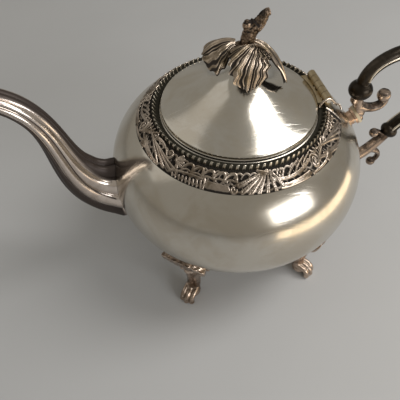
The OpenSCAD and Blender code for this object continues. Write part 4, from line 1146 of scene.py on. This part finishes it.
def silver(name, metal, film, dirt, gloss=0.2, dull=0.5, clouds=0.4, scale=60.0, reach=0.003, edge=0.5,
           carved=False, dents=0.4, scratches=0.15, grain=0.0, cover=0.0, worn=0.0, top_shade=0.0):
    """A worn silver: its clean metal, the film over it, and the dark in its hollows, which also carries any
    painted shade. carved takes the hollows from the piece's own attribute as well; cover is a film all over,
    worn how far edges are rubbed clean of it, and topside the painted shade on what faces upward."""
    relief_h = 0.12 * MM
    material = bpy.data.materials.new(name)
    material.use_nodes = True
    tree = material.node_tree
    shader = tree.nodes["Principled BSDF"]
    hollows = grouped(tree, HOLLOWS, reach=reach, edge=edge)
    hollow = hollows.outputs["Hollow"]
    if carved:
        own = wired(tree, "ShaderNodeAttribute", attribute_name="hollow").outputs["Fac"]
        hollow = fraction(tree, "MAXIMUM", ramp(tree, own, 0.12, 0.8), hollow)
    # painted shade on what faces upward goes in with the hollows
    if top_shade:
        upper = grouped(tree, TOP_SHADE, strength=top_shade)
        hollow = fraction(tree, "MAXIMUM", upper.outputs["Mask"], hollow)
    rubbed = fraction(tree, "MULTIPLY", hollows.outputs["Ridge"], worn) if worn else 0.0
    tarnish = grouped(tree, TARNISH, clean=metal, film=film, dirt=dirt, clouds=clouds, scale=scale,
                      gloss=gloss, dull=dull, cover=cover, wear=rubbed, hollow=hollow).outputs
    marks = grouped(tree, WEAR, dents=dents, scratches=scratches, grain=grain).outputs["Height"]
    relief = wired(tree, "ShaderNodeBump", {"Height": marks, "Distance": relief_h, "Strength": 1.0}).outputs
    for socket, value in (("Base Color", tarnish["Colour"]), ("Roughness", tarnish["Roughness"]),
                          ("Metallic", tarnish["Metal"]), ("Normal", relief["Normal"])):
        tree.links.new(value, shader.inputs[socket])
    return material


def make_ivory(brown):
    """The yellowed cream of the heat breaks, which is no metal."""
    ivory = silver("cream_insulator", rgb(0.72, 0.62, 0.44), rgb(0.5, 0.38, 0.22), brown, gloss=0.4,
                   clouds=0.5, scale=120)
    metallic = ivory.node_tree.nodes["Principled BSDF"].inputs["Metallic"]
    ivory.node_tree.links.remove(metallic.links[0])
    metallic.default_value = 0.0
    return ivory


def make_finishes():
    """Every finish of the teapot, by the part that wears it."""
    brown = rgb(0.035, 0.022, 0.012)
    return {
        "body": silver("polished_silver", rgb(0.66, 0.62, 0.55), rgb(0.5, 0.43, 0.33), brown, gloss=0.15,
                       clouds=0.5, scale=34, reach=0.002, edge=0.2, scratches=0.1, dents=1.2),
        "lid": silver("polished_lid", rgb(0.7, 0.67, 0.61), rgb(0.56, 0.49, 0.38), brown, gloss=0.13,
                      clouds=0.45, scale=40, reach=0.002, edge=0.2, scratches=0.12, dents=1.0),
        "bright": silver("bright_silver", rgb(0.8, 0.74, 0.64), rgb(0.6, 0.48, 0.36), brown, scale=90,
                         reach=0.0015),
        "gadroons": silver("beaded_silver", rgb(0.66, 0.6, 0.5), rgb(0.3, 0.25, 0.17),
                           rgb(0.022, 0.019, 0.01), gloss=0.22, clouds=0.6, scale=90, reach=0.0016,
                           carved=True, cover=0.15, worn=0.3),
        "border": silver("stamped_silver", rgb(0.7, 0.6, 0.51), rgb(0.19, 0.145, 0.1),
                         rgb(0.015, 0.011, 0.007), clouds=0.8, scale=70, reach=0.0018, carved=True,
                         grain=0.3, cover=0.3, worn=0.9),
        "cast": silver("cast_silver", rgb(0.7, 0.57, 0.47), rgb(0.2, 0.14, 0.1), rgb(0.02, 0.013, 0.009),
                       clouds=0.8, scale=75, reach=0.006, grain=0.5, cover=0.3, worn=0.8),
        # the spout's own attribute brings in its painted shade and the painted highlight by the body
        "spout": silver("spout_silver", rgb(0.76, 0.67, 0.6), rgb(0.33, 0.25, 0.2), rgb(0.05, 0.036, 0.03),
                        gloss=0.18, dull=0.25, clouds=0.5, scale=42, grain=0.3, carved=True),
        # the handle takes painted shade on what faces upward
        "handle": silver("handle_silver", rgb(0.68, 0.53, 0.42), rgb(0.14, 0.1, 0.075),
                         rgb(0.02, 0.013, 0.01), clouds=0.8, reach=0.004, edge=0.8, grain=0.4,
                         cover=0.3, worn=0.6, top_shade=0.75),
        "grip": silver("dark_grip", rgb(0.4, 0.34, 0.28), rgb(0.03, 0.024, 0.018), rgb(0.01, 0.008, 0.006),
                       gloss=0.22, clouds=0.5, scale=40, edge=0.9, grain=0.3, cover=0.9, worn=0.6),
        "copper": silver("copper_joint", rgb(0.72, 0.5, 0.36), rgb(0.42, 0.27, 0.17), rgb(0.04, 0.02, 0.01),
                         gloss=0.24, clouds=0.6, scale=90, reach=0.002),
        "hinge": silver("hinge_silver", rgb(0.58, 0.48, 0.32), rgb(0.36, 0.27, 0.14), brown, gloss=0.26,
                        clouds=0.6, scale=120, reach=0.0012, cover=0.1),
        # the twig takes painted shade on what faces upward
        "twig": silver("twig_bronze", rgb(0.6, 0.44, 0.32), rgb(0.1, 0.07, 0.045), rgb(0.012, 0.008, 0.006),
                       gloss=0.26, clouds=0.9, scale=110, edge=0.8, grain=0.8, cover=0.35, worn=0.5,
                       top_shade=0.8),
        "leaf": silver("leaf_silver", rgb(0.68, 0.56, 0.45), rgb(0.2, 0.155, 0.1), rgb(0.02, 0.014, 0.009),
                       clouds=0.8, scale=90, edge=0.8, carved=True, grain=0.3, cover=0.3, worn=0.8),
        "insulator": make_ivory(brown),
    }


# ---- putting it together ----

def dress(piece, body, finish, slot, *nodes):
    """Gives a piece its finish and its body, and hides the CAD nodes it stands for. slot is not used."""
    piece.data.materials.clear()
    piece.data.materials.append(finish)
    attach(piece, body)
    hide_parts(*nodes)
    return piece


def repaint(finish, *nodes):
    """Gives CAD nodes that stay in view their finish."""
    for name in nodes:
        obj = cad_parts[name]
        if not obj.material_slots:
            obj.data.materials.append(finish)
        for material_slot in obj.material_slots:
            material_slot.material = finish


def build_teapot(finishes):
    """Makes every piece, and sets it on its body in place of its CAD nodes."""
    dress(make_body(), "pot", finishes["body"], "polished_silver", "body_shell")
    dress(make_lid(), "lid", finishes["lid"], "polished_silver", "lid_dome")
    dress(make_gadroon_rim(), "pot", finishes["gadroons"], "bright_silver", "gadroon_rim")
    dress(make_scroll_border(), "pot", finishes["border"], "cast_silver", "scroll_border")
    dress(make_spout(), "pot", finishes["spout"], "cast_silver", "spout")
    for foot in make_feet():
        dress(foot, "pot", finishes["cast"], "cast_silver", foot.name.replace("cast_", ""))
    dress(make_grip(), "pot", finishes["grip"], "dark_silver", "handle_grip")
    # the beads' bright finish paints the highlight along the grip's inner edges
    dress(make_grip_highlight_beads(), "pot", finishes["bright"], "bright_silver", "handle_grip")
    dress(make_upper_scroll(), "pot", finishes["handle"], "dark_silver", "handle_upper_scroll")
    dress(make_lower_scroll(), "pot", finishes["handle"], "dark_silver", "handle_lower_scroll")
    dress(make_twig(), "lid", finishes["twig"], "cast_silver", "finial_twig")
    for leaf in make_leaves():
        dress(leaf, "lid", finishes["leaf"], "dark_silver", "finial_" + leaf.name)
    repaint(finishes["lid"], "lid_bezel")
    repaint(finishes["bright"], "finial_stud", "finial_washer", "finial_nut", "handle_lock_pins", "hinge_pin")
    repaint(finishes["hinge"], "hinge_leaf_body", "hinge_leaf_lid")
    repaint(finishes["copper"], "handle_upper_socket", "handle_lower_socket")
    repaint(finishes["insulator"], "handle_upper_insulator", "handle_lower_insulator")


# ---- the stage: a floor, lights and the camera ----

TARGET = Vector((0, 0, 0.1))  # what the lamps face, in metres


def direction(azimuth, elevation):
    """A unit vector toward an azimuth counted from +X and an elevation."""
    a, e = math.radians(azimuth), math.radians(elevation)
    return Vector((math.cos(a) * math.cos(e), math.sin(a) * math.cos(e), math.sin(e)))


def softbox(name, azimuth, elevation, distance, size, power, colour, roll=0, shape="RECTANGLE"):
    """A flat lamp that faces the target from a direction and a distance in metres, with its width
    and height in metres and its power in watts, turned about its axis."""
    light = bpy.data.lights.new(name, "AREA")
    light.shape = shape
    light.size, light.size_y = size
    light.energy = power
    light.color = colour
    lamp = bpy.data.objects.new(name, light)
    bpy.context.scene.collection.objects.link(lamp)
    away = direction(azimuth, elevation)
    lamp.location = TARGET + away * distance
    turn = away.to_track_quat("Z", "Y") @ Quaternion((0, 0, 1), math.radians(roll))
    lamp.rotation_euler = turn.to_euler()


def make_floor():
    """A plain pale floor with a faint mottle."""
    floor = primitive(bpy.ops.mesh.primitive_plane_add, size=6)
    floor.name = floor.data.name = "floor"
    material = bpy.data.materials.new("pale_floor")
    material.use_nodes = True
    tree = material.node_tree
    shader = tree.nodes["Principled BSDF"]
    where = tree.nodes.new("ShaderNodeTexCoord").outputs["Object"]
    mottle = cloudy(tree, where, 6.0, Detail=4.0)
    colour = blended(tree, mottle, rgb(0.47, 0.475, 0.48), rgb(0.53, 0.535, 0.54))
    tree.links.new(colour, shader.inputs["Base Color"])
    shader.inputs["Roughness"].default_value = 0.65
    floor.data.materials.append(material)


def make_lights():
    """An even warm room, a big lamp overhead, one in front on the left, a low warm strip, and a
    weak one behind."""
    world = bpy.data.worlds.new("room")
    bpy.context.scene.world = world
    world.use_nodes = True
    background = world.node_tree.nodes["Background"]
    background.inputs["Color"].default_value = rgb(0.3, 0.285, 0.255)
    background.inputs["Strength"].default_value = 1.0
    softbox("key", -8, 54, distance=1.3, size=(0.5, 1.05), power=8, colour=(1.0, 0.98, 0.95), roll=12,
            shape="ELLIPSE")
    softbox("window", -58, 21, distance=1.3, size=(0.75, 0.5), power=5.5, colour=(0.97, 0.98, 1.0))
    softbox("strip", -40, -10, distance=0.36, size=(0.5, 0.09), power=0.2, colour=(1.0, 0.78, 0.5))
    softbox("fill", 155, 45, distance=1.5, size=(1.2, 1.2), power=1.2, colour=(1.0, 0.97, 0.92))


def make_camera():
    """A camera in front and above, with the teapot a little to the right of its middle."""
    azimuth, elevation, roll = math.radians(-12.5), math.radians(52.2), math.radians(-1.1)
    distance, target = 338, Vector((-24.9, 2.8, 44.5))
    back = Vector((math.sin(azimuth) * math.cos(elevation), -math.cos(azimuth) * math.cos(elevation),
                   math.sin(elevation)))
    right = Vector((math.cos(azimuth), math.sin(azimuth), 0))
    up = back.cross(right)
    rolled_right = right * math.cos(roll) + up * math.sin(roll)
    rolled_up = up * math.cos(roll) - right * math.sin(roll)
    place = (target + back * distance) * MM
    data = bpy.data.cameras.new("camera")
    data.sensor_width = 36
    data.lens = 38.6
    data.clip_start = 0.01
    camera = bpy.data.objects.new("camera", data)
    bpy.context.scene.collection.objects.link(camera)
    turn = Matrix((rolled_right, rolled_up, back)).transposed()
    camera.matrix_world = Matrix.Translation(place) @ turn.to_4x4()
    bpy.context.scene.camera = camera


make_camera()
build_teapot(make_finishes())
make_floor()
make_lights()
bpy.context.scene.view_settings.view_transform = "Standard"
